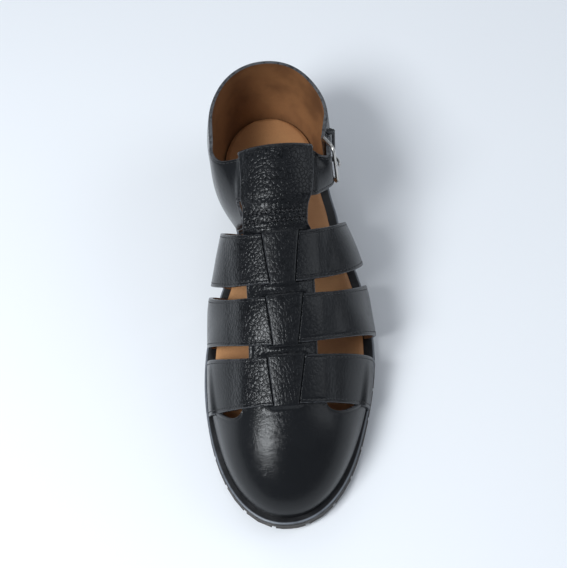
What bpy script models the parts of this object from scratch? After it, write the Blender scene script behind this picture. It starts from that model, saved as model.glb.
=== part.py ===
"""Gurkha sandal for the left foot: closed toe, three cross straps, loop and ankle strap.

The toe points to -Y, the outer side of the foot is +X and the floor is z = 0. Lengths are in metres.
"Along" is the distance from the sole's toe tip towards the heel. A side is -1 for the inner (medial)
edge of the foot and +1 for the outer (lateral) edge. A "turn" goes from 0, where the wall stands on
the welt, to 1 on the ridge of the instep.
"""
import math
from collections import namedtuple

import bmesh
import bpy
from mathutils import Vector

MEDIAL = -1
LATERAL = 1

# Sole
SOLE_LENGTH = 0.288
BALL_WIDTH = 0.108
TOE_DOME = 0.105
HEEL_DOME = 0.050
DOME_POWER = 2.1
BALL_FRONT = 0.070
BALL_BACK = 0.115
HEEL_BREAST = 0.209
TOE_SPRING = 0.0045
HEEL_RISE = 0.016
OUTSOLE_THICKNESS = 0.0030
WELT_THICKNESS = 0.0022
INSOLE_THICKNESS = 0.0045
INSOLE_INSET = 0.0069
WELT_STATIONS = 44
EDGE_SAMPLES = 400
SEAT_GAP = 0.0003
SIDE_GAP = 0.0009

# Lugs under the forefoot
LUG_DEPTH = 0.0018
LUG_PITCH = 0.0195
LUG_GAP = 0.0024
LUG_WIDTH = 0.015
LUG_FLARE = 0.0004
CHANNEL_WIDTH = 0.004
LUG_END = 0.128
SHANK_STATIONS = 26

# Heel
HEEL_TAPER = 0.0012
HEEL_CORNER = 0.006
HEEL_STATIONS = 40

# Last and leather
INSTEP_RISE = 0.0715
TOE_BOX_LENGTH = 0.045
LEATHER = 0.0022
STRIP_MEDIAL = 0.0184
STRIP_LATERAL = 0.0190
LOOP_MEDIAL = 0.0170
LOOP_LATERAL = 0.0162
STRIP_START = 0.045
SLIT_MEDIAL_FRONT = 0.0045
SLIT_MEDIAL_BACK = 0.0074
SLIT_LATERAL_FRONT = 0.0078
SLIT_LATERAL_BACK = 0.0112
SLIT_STEP = 0.0005
SLIT_DEPTH = 0.0010
STRIP_DRAPE = 0.003
EDGE_STEP = 0.0005
VAMP_ROWS = 13
VAMP_SPACING = 0.9
STRAP_SHARES = (0.0, 0.25, 0.5, 0.75, 1.0)
GAPE_POWER = 1.5
SIDE_COLUMNS = 8
LENS_DEPTH = 0.0040
LENS_CLOSED = 0.0008
LENS_START = 0.34
LENS_MARGIN = 0.10
LENS_LEAN = 1.8
LENS_BOW = 0.4
NECK = 0.003

# Loop folded from the end of the centre strip
STITCH_FRONT = 0.1505
STITCH_BACK = 0.1600
LOOP_FOLD = 0.1900
LOOP_LEAN = 0.45
LOOP_GAP = 0.0005
LOOP_RISE = 0.0050
FOLD_STEPS = 5
RAMP_LIFT = 0.55
LOOP_MIDDLE = 0.6

# Ankle strap, quarter and buckle
STRAP_ROWS = 6
STRAP_FRONT = 0.1650
QUARTER_RISE = 0.0590
HEEL_HALF = 0.0390
TOP_INSET = 0.0078
MEDIAL_FRONT = 0.1970
LATERAL_FRONT = 0.2260
MEDIAL_SETBACK = 0.0240
LATERAL_SETBACK = 0.0100
TOP_CENTRE = -0.0010
QUARTER_BULGE = 0.0035
MEDIAL_FLARE = 0.0045
HEEL_STEPS = 14
ARM_STEPS = 3
STRAP_MARGIN = 0.0040
TIP_ROWS = 9
TIP_POINT = 0.0045
FRAME_LENGTH = 0.0170
FRAME_BAR = 0.0026
FRAME_PLAY = 0.0008
PRONG_WIDTH = 0.0024
PRONG_HEIGHT = 0.0015
PRONG_START = 0.0034
KEEPER_ROWS = (4, 6)
KEEPER_LEATHER = 0.0018
KEEPER_STEPS = 4

OutlineRow = namedtuple("OutlineRow", "along centre half")
LastRow = namedtuple("LastRow", "along rise across power medial lateral")
StrapRow = namedtuple("StrapRow", "front back front_medial front_lateral back_medial back_lateral gape")
EdgeRow = namedtuple("EdgeRow", "low_x low_along low_z high_x high_along high_z")
Row = namedtuple("Row", "along lean slit kind share gape")

STRIP_HALF = {MEDIAL: STRIP_MEDIAL, LATERAL: STRIP_LATERAL}
LOOP_HALF = {MEDIAL: LOOP_MEDIAL, LATERAL: LOOP_LATERAL}
SLITS = {MEDIAL: (SLIT_MEDIAL_FRONT, SLIT_MEDIAL_BACK), LATERAL: (SLIT_LATERAL_FRONT, SLIT_LATERAL_BACK)}

# Plan of the sole: along as a share of its length, the rest as shares of the ball width.
OUTLINE = (
    OutlineRow(0.000, -0.084, 0.483),
    OutlineRow(0.174, -0.060, 0.475),
    OutlineRow(0.365, -0.012, 0.488),
    OutlineRow(0.451, 0.007, 0.471),
    OutlineRow(0.538, 0.031, 0.406),
    OutlineRow(0.625, 0.051, 0.325),
    OutlineRow(0.677, 0.046, 0.308),
    OutlineRow(0.729, 0.021, 0.313),
    OutlineRow(0.780, -0.010, 0.331),
    OutlineRow(0.833, -0.025, 0.345),
    OutlineRow(1.000, -0.028, 0.345),
)

# The last: along as a share of the sole's length, the ridge's rise above the welt as a share of the
# instep rise, the ridge's place across the foot (0 medial, 1 lateral), how peaked the arch is, and
# how far each side swells past its foot as a share of the ball width.
LAST = (
    LastRow(0.000, 0.400, 0.500, 0.80, 0.000, 0.008),
    LastRow(0.080, 0.465, 0.500, 0.82, 0.000, 0.014),
    LastRow(0.140, 0.540, 0.500, 0.92, 0.000, 0.022),
    LastRow(0.190, 0.610, 0.495, 1.10, 0.002, 0.030),
    LastRow(0.280, 0.745, 0.490, 1.25, 0.010, 0.040),
    LastRow(0.385, 0.925, 0.480, 1.25, 0.030, 0.048),
    LastRow(0.490, 1.030, 0.455, 1.10, 0.062, 0.055),
    LastRow(0.545, 1.070, 0.440, 1.00, 0.078, 0.052),
    LastRow(0.625, 1.130, 0.440, 1.00, 0.105, 0.050),
    LastRow(0.700, 1.180, 0.450, 1.00, 0.090, 0.045),
)

# Cross straps: front and back edge on the ridge as shares of the sole's length, how far each edge
# runs back for every unit that it drops down a side of the foot, and how far in metres the front
# edge stands off the foot on the lateral side.
STRAPS = (
    StrapRow(0.191, 0.279, 0.38, 0.28, 0.52, 0.35, 0.0000),
    StrapRow(0.301, 0.386, 0.54, 0.49, 0.57, 0.55, 0.0034),
    StrapRow(0.412, 0.506, 0.53, 0.62, 0.60, 0.60, 0.0022),
)

# Edges of the ankle strap as it leaves the loop: x as a share of the heel's half width, along as a
# share of the sole's length, z as a share of the quarter's rise above the welt.
MEDIAL_ARM = (
    EdgeRow(-0.480, 0.556, 0.890, -0.740, 0.690, 1.120),
    EdgeRow(-0.585, 0.592, 0.560, -0.880, 0.712, 1.060),
    EdgeRow(-0.620, 0.640, 0.250, -0.930, 0.740, 1.000),
)
LATERAL_TAB = (
    EdgeRow(0.810, 0.762, 0.210, 0.820, 0.780, 0.985),
    EdgeRow(0.815, 0.738, 0.470, 0.795, 0.757, 1.030),
)
TAB_END = EdgeRow(0.800, 0.709, 0.757, 0.765, 0.733, 1.086)
TOP_LINE = ((0.0, 0.970), (0.5, 0.930), (1.0, 1.000))


def smooth(rows, position):
    """Value at a position in a list of (position, value), smooth and without overshoot."""
    if position <= rows[0][0]:
        return rows[0][1]
    if position >= rows[-1][0]:
        return rows[-1][1]
    slopes = [(b[1] - a[1]) / (b[0] - a[0]) for a, b in zip(rows, rows[1:])]
    tangents = [0.0]
    for before, after in zip(slopes, slopes[1:]):
        flat = before * after <= 0
        tangents.append(0.0 if flat else 2 * before * after / (before + after))
    tangents[0] = slopes[0]
    tangents.append(slopes[-1])
    index = max(i for i in range(len(slopes)) if rows[i][0] <= position)
    width = rows[index + 1][0] - rows[index][0]
    t = (position - rows[index][0]) / width
    value = rows[index][1] * (1 + 2 * t) * (1 - t) ** 2
    value += rows[index + 1][1] * t * t * (3 - 2 * t)
    value += tangents[index] * width * t * (1 - t) ** 2
    value -= tangents[index + 1] * width * t * t * (1 - t)
    return value


def column(table, name):
    """One named column of a table against its along column."""
    return [(row.along, getattr(row, name)) for row in table]


OUTLINE_CENTRE = column(OUTLINE, "centre")
OUTLINE_HALF = column(OUTLINE, "half")
LAST_COLUMNS = {name: column(LAST, name) for name in LastRow._fields[1:]}


def clamp(value, low=0.0, high=1.0):
    return min(max(value, low), high)


def dome(share):
    """Rounds an end off: 0 at the tip, 1 where the dome begins."""
    return (1 - (1 - clamp(share)) ** DOME_POWER) ** (1 / DOME_POWER)


def mix(a, b, share):
    return a + (b - a) * share


def outline_x(along, side, inset=0.0):
    """The edge of the sole's plan, moved in by an inset."""
    share = along / SOLE_LENGTH
    centre = BALL_WIDTH * smooth(OUTLINE_CENTRE, share)
    half = BALL_WIDTH * smooth(OUTLINE_HALF, share) - inset
    toe = dome((along - inset) / (TOE_DOME - inset))
    heel = dome((SOLE_LENGTH - inset - along) / (HEEL_DOME - inset))
    return centre + side * half * toe * heel


def sole_lift(along):
    """How far the tread is off the floor, with the toe spring and the rise to the heel."""
    toe = TOE_SPRING * clamp(1 - along / BALL_FRONT) ** 2
    shank = clamp((along - BALL_BACK) / (HEEL_BREAST - BALL_BACK))
    return toe + HEEL_RISE * shank * shank * (3 - 2 * shank)


def outsole_low(along):
    return LUG_DEPTH + sole_lift(along)


def outsole_high(along):
    return outsole_low(along) + OUTSOLE_THICKNESS


def welt_low(along):
    return outsole_high(along) + SEAT_GAP


def welt_high(along):
    return welt_low(along) + WELT_THICKNESS


def seat(along):
    """Where the insole and the wall of the upper stand on the welt."""
    return welt_high(along) + SEAT_GAP


def insole_high(along):
    return seat(along) + INSOLE_THICKNESS


def place(x, along, z):
    """Puts a point given by its distance from the toe tip into the part's axes."""
    return Vector((x, along - SOLE_LENGTH / 2, z))


def material(name, colour, roughness, metallic=0.0):
    """A plain surface finish."""
    finish = bpy.data.materials.new(name)
    finish.use_nodes = True
    shader = finish.node_tree.nodes["Principled BSDF"]
    shader.inputs["Base Color"].default_value = (*colour, 1.0)
    shader.inputs["Roughness"].default_value = roughness
    shader.inputs["Metallic"].default_value = metallic
    finish.diffuse_color = (*colour, 1.0)
    return finish


def add_piece(name, points, faces, finish, parent, sharp=35):
    """Makes a named object from points and faces, with its faces turned outward."""
    mesh = bpy.data.meshes.new(name)
    mesh.from_pydata([tuple(point) for point in points], [], faces)
    shape = bmesh.new()
    shape.from_mesh(mesh)
    bmesh.ops.remove_doubles(shape, verts=shape.verts, dist=1e-7)
    bmesh.ops.dissolve_degenerate(shape, edges=shape.edges, dist=1e-7)
    bmesh.ops.recalc_face_normals(shape, faces=shape.faces)
    if shape.calc_volume(signed=True) < 0:
        bmesh.ops.reverse_faces(shape, faces=shape.faces)
    shape.to_mesh(mesh)
    shape.free()
    mesh.shade_smooth()
    mesh.set_sharp_from_angle(angle=math.radians(sharp))
    mesh.materials.append(finish)
    piece = bpy.data.objects.new(name, mesh)
    bpy.context.scene.collection.objects.link(piece)
    piece.parent = parent
    return piece


def end_spaced(start, end, count):
    """Distances from start to end, close together near both ends."""
    return [mix(start, end, (1 - math.cos(math.pi * i / count)) / 2) for i in range(count + 1)]


def plate(name, alongs, inset, low, high, finish, parent, low_inset=None):
    """A flat layer of the sole between two heights that follow the sole's bend."""
    low_inset = low_inset or inset
    points = []
    for along in alongs:
        for side in (MEDIAL, LATERAL):
            points.append(place(outline_x(along, side, low_inset(along)), along, low(along)))
            points.append(place(outline_x(along, side, inset(along)), along, high(along)))
    faces = []
    for i in range(len(alongs) - 1):
        a, b = 4 * i, 4 * i + 4
        faces += [(a, a + 2, b + 2, b), (a + 1, b + 1, b + 3, a + 3)]
        faces += [(a, b, b + 1, a + 1), (a + 2, a + 3, b + 3, b + 2)]
    last = 4 * (len(alongs) - 1)
    faces += [(0, 1, 3, 2), (last, last + 2, last + 3, last + 1)]
    return add_piece(name, points, faces, finish, parent)


def edge_distances(side):
    """Pairs of (distance round the edge from the toe tip, along) down one side of the sole."""
    alongs = end_spaced(0.0, SOLE_LENGTH, EDGE_SAMPLES)
    pairs = [(0.0, 0.0)]
    for before, after in zip(alongs, alongs[1:]):
        step = math.hypot(after - before, outline_x(after, side) - outline_x(before, side))
        pairs.append((pairs[-1][0] + step, after))
    return pairs


def along_at(pairs, distance):
    """The along value a given distance round the edge."""
    for (d0, a0), (d1, a1) in zip(pairs, pairs[1:]):
        if d1 >= distance:
            return mix(a0, a1, (distance - d0) / (d1 - d0))
    return pairs[-1][1]


def outsole_stations():
    """Edge distances for the outsole, and which cell after each one is a lug."""
    lug = LUG_PITCH - LUG_GAP
    distances = [0.0]
    lugs = []
    edge = lug / 2
    reach = along_reach = 0.0
    pairs = edge_distances(MEDIAL)
    while along_reach < LUG_END:
        middle = (distances[-1] + edge) / 2
        distances += [middle, edge]
        lugs += [True, True]
        distances.append(edge + LUG_GAP)
        lugs.append(False)
        reach = edge + LUG_GAP
        edge = reach + lug
        along_reach = along_at(pairs, edge)
    rest = pairs[-1][0] - reach
    for i in range(1, SHANK_STATIONS + 1):
        distances.append(reach + rest * i / SHANK_STATIONS)
        lugs.append(False)
    return distances, lugs


def add_outsole(finish, parent):
    """The lugged outsole: a bent plate with blocks round the forefoot's edge and down its middle."""
    distances, lugs = outsole_stations()
    total = distances[-1]
    insets = (0.0, LUG_WIDTH, LUG_WIDTH + CHANNEL_WIDTH)
    points = []
    index = {}

    def vertex(key, point):
        if key not in index:
            index[key] = len(points)
            points.append(point)
        return index[key]

    rows = []
    for side in (MEDIAL, LATERAL):
        pairs = edge_distances(side)
        rows.append([along_at(pairs, pairs[-1][0] * d / total) for d in distances])
    last = len(distances) - 1
    columns = [(MEDIAL, 0), (MEDIAL, 1), (MEDIAL, 2), (LATERAL, 2), (LATERAL, 1), (LATERAL, 0)]

    def corner(i, c, level):
        side, ring = columns[c]
        along = rows[0 if side == MEDIAL else 1][i]
        inset = insets[ring]
        inner = inset + along * (SOLE_LENGTH - 2 * inset) / SOLE_LENGTH
        if level == "lug" and ring == 0:
            inset -= LUG_FLARE
            inner = along - LUG_FLARE * (1 - 2 * along / SOLE_LENGTH)
        heights = {"top": outsole_high, "base": outsole_low, "lug": sole_lift}
        tip = ring == 0 and i in (0, last)
        key = (i, "tip" if tip else c, level)
        return vertex(key, place(outline_x(inner, side, inset), inner, heights[level](inner)))

    def is_lug(i, c):
        if i < 0:
            return is_lug(0, 4 - c)
        if c in (0, 4):
            return i < last and lugs[i]
        return c == 2 and 3 < i < last and lugs[i]

    faces = []
    for i in range(last):
        for c in range(5):
            level = "lug" if is_lug(i, c) else "base"
            faces.append([corner(i, c, level), corner(i, c + 1, level),
                          corner(i + 1, c + 1, level), corner(i + 1, c, level)])
            if level == "base":
                continue
            for di, dc, ends in ((-1, 0, ((0, 0), (0, 1))), (1, 0, ((1, 0), (1, 1))),
                                 (0, -1, ((0, 0), (1, 0))), (0, 1, ((0, 1), (1, 1)))):
                outside = c + dc in (-1, 5)
                if not outside and is_lug(i + di, c + dc):
                    continue
                (i0, c0), (i1, c1) = ends
                faces.append([corner(i + i0, c + c0, "base"), corner(i + i1, c + c1, "base"),
                              corner(i + i1, c + c1, "lug"), corner(i + i0, c + c0, "lug")])
        for c in (0, 5):
            faces.append([corner(i, c, "base"), corner(i + 1, c, "base"),
                          corner(i + 1, c, "top"), corner(i, c, "top")])
        for c in range(5):
            faces.append([corner(i, c, "top"), corner(i, c + 1, "top"),
                          corner(i + 1, c + 1, "top"), corner(i + 1, c, "top")])
    tidy = []
    for face in faces:
        ring = [v for k, v in enumerate(face) if v != face[k - 1]]
        if len(ring) > 2:
            tidy.append(ring)
    return add_piece("outsole", points, tidy, finish, parent)


def last_value(name, along):
    return smooth(LAST_COLUMNS[name], along / SOLE_LENGTH)


WALL_INSET = INSOLE_INSET - SIDE_GAP


def ridge_height(along):
    """Height of the last's ridge over the floor."""
    rise = INSTEP_RISE * last_value("rise", along)
    return seat(along) + rise * dome((along - WALL_INSET) / TOE_BOX_LENGTH)


def last_point(along, side, turn):
    """A point on the last, which is the inside of the upper's wall."""
    foot = outline_x(along, side, WALL_INSET)
    other = outline_x(along, -side, WALL_INSET)
    medial, lateral = min(foot, other), max(foot, other)
    ridge = mix(medial, lateral, last_value("across", along))
    angle = turn * math.pi / 2
    swell = last_value("medial" if side == MEDIAL else "lateral", along)
    swell *= BALL_WIDTH * math.sin(math.pi * turn ** 0.6) * dome((along - WALL_INSET) / TOE_BOX_LENGTH)
    x = ridge + (foot - ridge) * math.cos(angle) + side * swell
    rise = math.sin(angle) ** last_value("power", along)
    return place(x, along, mix(seat(along), ridge_height(along), rise))


def leaning_along(along, lean, turn):
    """Where a cut that crosses the ridge at one place reaches a turn, running back as it drops."""
    rise = math.sin(turn * math.pi / 2) ** last_value("power", along)
    return along + lean * (1 - rise) * (ridge_height(along) - seat(along))


def wall_point(along, lean, side, turn):
    return last_point(leaning_along(along, lean, turn), side, turn)


def wall_normal(along, lean, side, turn):
    """Outward direction of the wall, level where it stands on the welt."""
    step = 0.0005
    small = 0.004
    forward = wall_point(along + step, lean, side, turn) - wall_point(along - step, lean, side, turn)
    low, high = clamp(turn - small), clamp(turn + small)
    up = wall_point(along, lean, side, high) - wall_point(along, lean, side, low)
    normal = forward.cross(up) * side
    if turn == 0:
        normal.z = 0
    if turn == 1:
        normal.x = 0
    return normal.normalized()


def turn_at(along, lean, side, distance):
    """The turn whose point lies a distance from the ridge, measured across the foot."""
    ridge = wall_point(along, lean, side, 1.0).x
    low, high = 0.2, 1.0
    for _ in range(24):
        middle = (low + high) / 2
        if abs(wall_point(along, lean, side, middle).x - ridge) > distance:
            low = middle
        else:
            high = middle
    return (low + high) / 2


def strap_rows(strap):
    """The rows of one cross strap from its front edge to its back edge."""
    front, back = strap.front * SOLE_LENGTH, strap.back * SOLE_LENGTH
    marks = [(front, 0.0, "edge")]
    marks += [(mix(front + EDGE_STEP, back - EDGE_STEP, share), share, "strap") for share in STRAP_SHARES]
    marks += [(back, 1.0, "edge")]
    rows = []
    for along, share, kind in marks:
        lean = {MEDIAL: mix(strap.front_medial, strap.back_medial, share),
                LATERAL: mix(strap.front_lateral, strap.back_lateral, share)}
        slit = {side: mix(*SLITS[side], share) for side in SLITS}
        rows.append(Row(along, lean, slit, kind, share, strap.gape * (1 - share)))
    return rows


def upper_rows():
    """Every row of the upper from the toe to the loop, with what lies between it and the next."""
    first = STRAPS[0]
    top = first.front * SOLE_LENGTH
    slit = {side: SLITS[side][0] for side in SLITS}
    rows = []
    for i in range(1, VAMP_ROWS + 1):
        share = i / VAMP_ROWS
        along = mix(WALL_INSET, top, 1 - math.cos(share * math.pi / 2) ** VAMP_SPACING)
        lean = {MEDIAL: first.front_medial * share ** 2, LATERAL: first.front_lateral * share ** 2}
        rows.append(Row(along, lean, slit, "vamp", share, 0.0))
    rows[-1] = rows[-1]._replace(kind="vamp_top")
    for strap in STRAPS:
        rows += strap_rows(strap)
    return rows


def lens(row, distance_share):
    """How far the vamp's top line stays ahead of the first strap, where it leaves two openings."""
    if row.kind != "vamp_top":
        return 0.0
    inside = clamp((distance_share - LENS_START) / (1 - LENS_START))
    return LENS_CLOSED + LENS_DEPTH * math.sin(math.pi * inside ** LENS_LEAN) ** LENS_BOW


def side_turns(row, side):
    """The turns of one side's columns on a row, from the welt to the ridge."""
    along = max(row.along, STRIP_START)
    half = STRIP_HALF[side]
    drape = turn_at(along, row.lean[side], side, half + STRIP_DRAPE)
    turns = [drape * i / SIDE_COLUMNS for i in range(SIDE_COLUMNS + 1)]
    return turns + [turn_at(along, row.lean[side], side, distance)
                    for distance in strip_distances(half, row.slit[side])]


def strip_distances(half, slit):
    """Distances of the strip's columns from the ridge: its edge, the slit and the bridge inside it."""
    return [half, (half + slit + SLIT_STEP) / 2, slit + SLIT_STEP, slit, slit / 2]


def stand_off(row, side, turn_share):
    """How far a strap's front edge gapes away from the foot on the lateral side."""
    if side == MEDIAL:
        return 0.0
    return row.gape * math.sin(math.pi * turn_share) ** GAPE_POWER


def outer_level(row, index, turn_share):
    """Height of the outer face over the last at a row and a side column."""
    strip = index > SIDE_COLUMNS
    if row.kind != "strap":
        return LEATHER
    if index == SIDE_COLUMNS + 3:
        return 2 * LEATHER - SLIT_DEPTH
    if strip:
        return 2 * LEATHER
    closed = row.along < STRAPS[1].front * SOLE_LENGTH and turn_share < LENS_START
    if closed:
        return LEATHER * (2 - row.share)
    return LEATHER


def stand(point):
    """Moves a point up or down on to the welt."""
    return Vector((point.x, point.y, seat(point.y + SOLE_LENGTH / 2)))


def upper_grid():
    """Inner and outer points of the upper's rows, and a mask of the cells that are leather."""
    rows = upper_rows()
    inner, outer, mask = [], [], []
    tip = last_point(WALL_INSET, MEDIAL, 0.0)
    count = 2 * (SIDE_COLUMNS + 6) + 1
    inner.append([tip] * count)
    outer.append([stand(tip + Vector((0, -LEATHER, 0)))] * count)
    for row in rows:
        line = {MEDIAL: [], LATERAL: []}
        for side in (MEDIAL, LATERAL):
            lean = row.lean[side]
            turns = side_turns(row, side) + [1.0]
            for index, turn in enumerate(turns):
                share = clamp(turn / turns[SIDE_COLUMNS])
                along = row.along
                if index <= SIDE_COLUMNS + 1:
                    along -= lens(row, share)
                elif row.kind == "vamp_top":
                    along -= NECK
                normal = wall_normal(along, lean, side, turn)
                point = wall_point(along, lean, side, turn) + normal * stand_off(row, side, share)
                raised = point + normal * outer_level(row, index, share)
                line[side].append((point, stand(raised) if index == 0 else raised))
        whole = line[MEDIAL] + line[LATERAL][-2::-1]
        inner.append([pair[0] for pair in whole])
        outer.append([pair[1] for pair in whole])
    for i in range(len(rows)):
        mask.append([is_leather(rows, i, j, count) for j in range(count - 1)])
    return inner, outer, mask


def is_leather(rows, i, j, count):
    """Whether the cell before row i at column j is leather or a gap."""
    cell = min(j, count - 2 - j)
    strip = cell > SIDE_COLUMNS
    if i == 0 or strip:
        return True
    before, after = rows[i - 1], rows[i]
    if before.kind == "vamp_top":
        return (cell + 1) / SIDE_COLUMNS <= LENS_START + LENS_MARGIN
    return not (before.kind == "edge" and after.kind == "edge")


def loop_path():
    """Steps of the folded loop as (along, inner offset, outer offset) from the last strap's edge."""
    under = LEATHER + LOOP_GAP
    over = 2 * LEATHER + 2 * LOOP_GAP
    start = STRAPS[-1].back * SOLE_LENGTH
    ramp = under * RAMP_LIFT
    middle = mix(STITCH_BACK, LOOP_FOLD, LOOP_MIDDLE)
    path = [((start + STITCH_FRONT) / 2, ramp, ramp + LEATHER)]
    path += [(along, under, under + LEATHER) for along in (STITCH_FRONT, STITCH_BACK)]
    path += [(along, over, over + LEATHER) for along in (STITCH_BACK + LOOP_RISE, middle)]
    centre = (over + LEATHER) / 2
    for i in range(FOLD_STEPS + 1):
        angle = math.pi / 2 - math.pi * i / FOLD_STEPS
        path.append((LOOP_FOLD, centre, (math.cos(angle), math.sin(angle))))
    path += [(along, LEATHER, 0.0) for along in (middle, STITCH_BACK, STITCH_FRONT + 2 * LOOP_GAP)]
    return path


def loop_points(along, offset, side, distance):
    """A point over the last near the loop, at a distance from the ridge."""
    turn = 1.0 if distance == 0 else turn_at(along, LOOP_LEAN, side, distance)
    normal = wall_normal(along, LOOP_LEAN, side, turn)
    return wall_point(along, LOOP_LEAN, side, turn) + normal * offset


def loop_distances():
    """Sides and distances of the loop's columns, medial edge first."""
    medial = strip_distances(LOOP_MEDIAL, SLIT_MEDIAL_BACK)
    lateral = strip_distances(LOOP_LATERAL, SLIT_LATERAL_BACK)
    steps = [(MEDIAL, distance) for distance in medial] + [(MEDIAL, 0.0)]
    return steps + [(LATERAL, distance) for distance in reversed(lateral)]


def add_upper(finish, parent):
    """Vamp, centre strip, cross straps and loop as one wall of leather."""
    inner, outer, mask = upper_grid()
    count = len(inner[0])
    first = SIDE_COLUMNS + 1
    columns = loop_distances()
    for along, low, high in loop_path():
        inner_row, outer_row = [None] * count, [None] * count
        for k, (side, distance) in enumerate(columns):
            if isinstance(high, tuple):
                reach, lift = high
                outer_radius = low
                inner_radius = low - LEATHER
                outer_point = loop_points(along + outer_radius * reach, low + outer_radius * lift,
                                          side, distance)
                inner_point = loop_points(along + inner_radius * reach, low + inner_radius * lift,
                                          side, distance)
            else:
                outer_point = loop_points(along, high, side, distance)
                inner_point = loop_points(along, low, side, distance)
            inner_row[first + k] = inner_point
            outer_row[first + k] = outer_point
        inner.append(inner_row)
        outer.append(outer_row)
        strip = range(first, first + len(columns) - 1)
        mask.append([j in strip for j in range(count - 1)])
    points, faces = shell(inner, outer, mask)
    return add_piece("upper", points, faces, finish, parent, sharp=50)


def shell(inner, outer, mask):
    """Points and faces of a wall between two grids, closed round every gap in its mask."""
    points = []
    index = {}

    def vertex(layer, i, j):
        grid = (inner, outer)[layer]
        key = (layer, i, j)
        if key not in index:
            index[key] = len(points)
            points.append(grid[i][j])
        return index[key]

    def filled(i, j):
        return 0 <= i < len(mask) and 0 <= j < len(mask[0]) and mask[i][j]

    faces = []
    for i, line in enumerate(mask):
        for j, present in enumerate(line):
            if not present:
                continue
            ring = [(i, j), (i, j + 1), (i + 1, j + 1), (i + 1, j)]
            faces.append([vertex(1, *corner) for corner in ring])
            faces.append([vertex(0, *corner) for corner in reversed(ring)])
            sides = (((i, j), (i, j + 1), (i - 1, j)), ((i + 1, j + 1), (i + 1, j), (i + 1, j)),
                     ((i, j + 1), (i + 1, j + 1), (i, j + 1)), ((i + 1, j), (i, j), (i, j - 1)))
            for a, b, neighbour in sides:
                if filled(*neighbour) or inner[a[0]][a[1]] == inner[b[0]][b[1]]:
                    continue
                faces.append([vertex(1, *b), vertex(1, *a), vertex(0, *a), vertex(0, *b)])
    return points, faces


def edge_ends(row):
    """The low and high end of a row of the ankle strap's table."""
    base = seat(HEEL_BREAST)
    low = place(row.low_x * HEEL_HALF, row.low_along * SOLE_LENGTH, base + row.low_z * QUARTER_RISE)
    high = place(row.high_x * HEEL_HALF, row.high_along * SOLE_LENGTH, base + row.high_z * QUARTER_RISE)
    return low, high


def across_row(low, high, swell=0.0):
    """Points from the low edge of the leather to its high edge, swollen away from the heel."""
    middle = place(BALL_WIDTH * OUTLINE[-2].centre, 0.8 * SOLE_LENGTH, 0.0)
    away = (low + high) / 2 - middle
    away.z = 0
    away.normalize()
    shares = [i / STRAP_ROWS for i in range(STRAP_ROWS + 1)]
    return [low.lerp(high, v) + away * swell * math.sin(math.pi * v) for v in shares]


def curve_between(rows, steps):
    """Adds smooth rows between the given ones, which it keeps."""
    dense = []
    for i in range(len(rows) - 1):
        before = rows[max(i - 1, 0)]
        after = rows[min(i + 2, len(rows) - 1)]
        for k in range(steps):
            t = k / steps
            row = []
            for p0, p1, p2, p3 in zip(before, rows[i], rows[i + 1], after):
                bend = (p2 - p0) * t + (p0 * 2 - p1 * 5 + p2 * 4 - p3) * t * t
                bend += (p1 * 3 - p0 - p2 * 3 + p3) * t * t * t
                row.append(p1 + bend / 2)
            dense.append(row)
    return dense + [rows[-1]]


def top_x(along, side):
    """The quarter's top edge seen from above, narrower than the heel's foot."""
    round_off = dome((SOLE_LENGTH - TOP_INSET - along) / (HEEL_DOME - TOP_INSET))
    return TOP_CENTRE + side * (HEEL_HALF - TOP_INSET / 2) * round_off


def heel_rows():
    """The quarter round the heel, from its medial front to its lateral front."""
    back = SOLE_LENGTH - WALL_INSET
    top_back = SOLE_LENGTH - TOP_INSET
    rows = []
    for side, front, setback in ((MEDIAL, MEDIAL_FRONT, MEDIAL_SETBACK),
                                 (LATERAL, LATERAL_FRONT, LATERAL_SETBACK)):
        half = []
        for i in range(HEEL_STEPS + 1):
            share = math.sin(i / HEEL_STEPS * math.pi / 2)
            along = mix(front, back, share)
            top_along = mix(front + setback, top_back, share)
            low = place(outline_x(along, side, WALL_INSET), along, seat(along))
            top = seat(HEEL_BREAST) + QUARTER_RISE * smooth(TOP_LINE, share)
            high = place(top_x(top_along, side), top_along, top)
            flare = MEDIAL_FLARE * (1 - share) ** 2 if side == MEDIAL else 0.0
            half.append(across_row(low, high, QUARTER_BULGE + flare))
        rows.append(half)
    return rows[0] + rows[1][-2::-1]


def grid_normals(rows):
    """Outward directions of a band whose rows run round the foot and up its width."""
    normals = []
    for i, row in enumerate(rows):
        before, after = rows[max(i - 1, 0)], rows[min(i + 1, len(rows) - 1)]
        line = []
        for j in range(len(row)):
            along = after[j] - before[j]
            up = row[min(j + 1, len(row) - 1)] - row[max(j - 1, 0)]
            line.append(up.cross(along).normalized())
        normals.append(line)
    return normals


def on_band(rows, normals, i, distance, offset):
    """A point over a row of the quarter, a distance under its top edge."""
    row = rows[i]
    lengths = [(b - a).length for a, b in zip(row, row[1:])]
    place_at = sum(lengths) - distance
    j = 0
    while j < len(lengths) - 1 and place_at > lengths[j]:
        place_at -= lengths[j]
        j += 1
    share = place_at / lengths[j]
    normal = normals[i][j].lerp(normals[i][j + 1], share).normalized()
    return row[j].lerp(row[j + 1], share) + normal * offset


def tab_frame(rows, normals):
    """Middle of the tab's end and its directions: on towards the loop, up and outward."""
    end, before = rows[-1], rows[-2]
    centre = (end[0] + end[-1]) / 2
    outward = normals[-1][STRAP_ROWS // 2]
    up = (end[-1] - end[0]).normalized()
    outward = (outward - up * outward.dot(up)).normalized()
    forward = outward.cross(up)
    if forward.dot(centre - (before[0] + before[-1]) / 2) < 0:
        forward = -forward
    return centre, forward, up, outward, (end[-1] - end[0]).length


def quarter_rows():
    """Rows of the quarter from its medial front round the heel to the end of its tab."""
    rows = heel_rows()
    tabs = [rows[-1]] + [across_row(*edge_ends(row)) for row in (*LATERAL_TAB, TAB_END)]
    return rows[:-1] + curve_between(tabs, ARM_STEPS)


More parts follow.
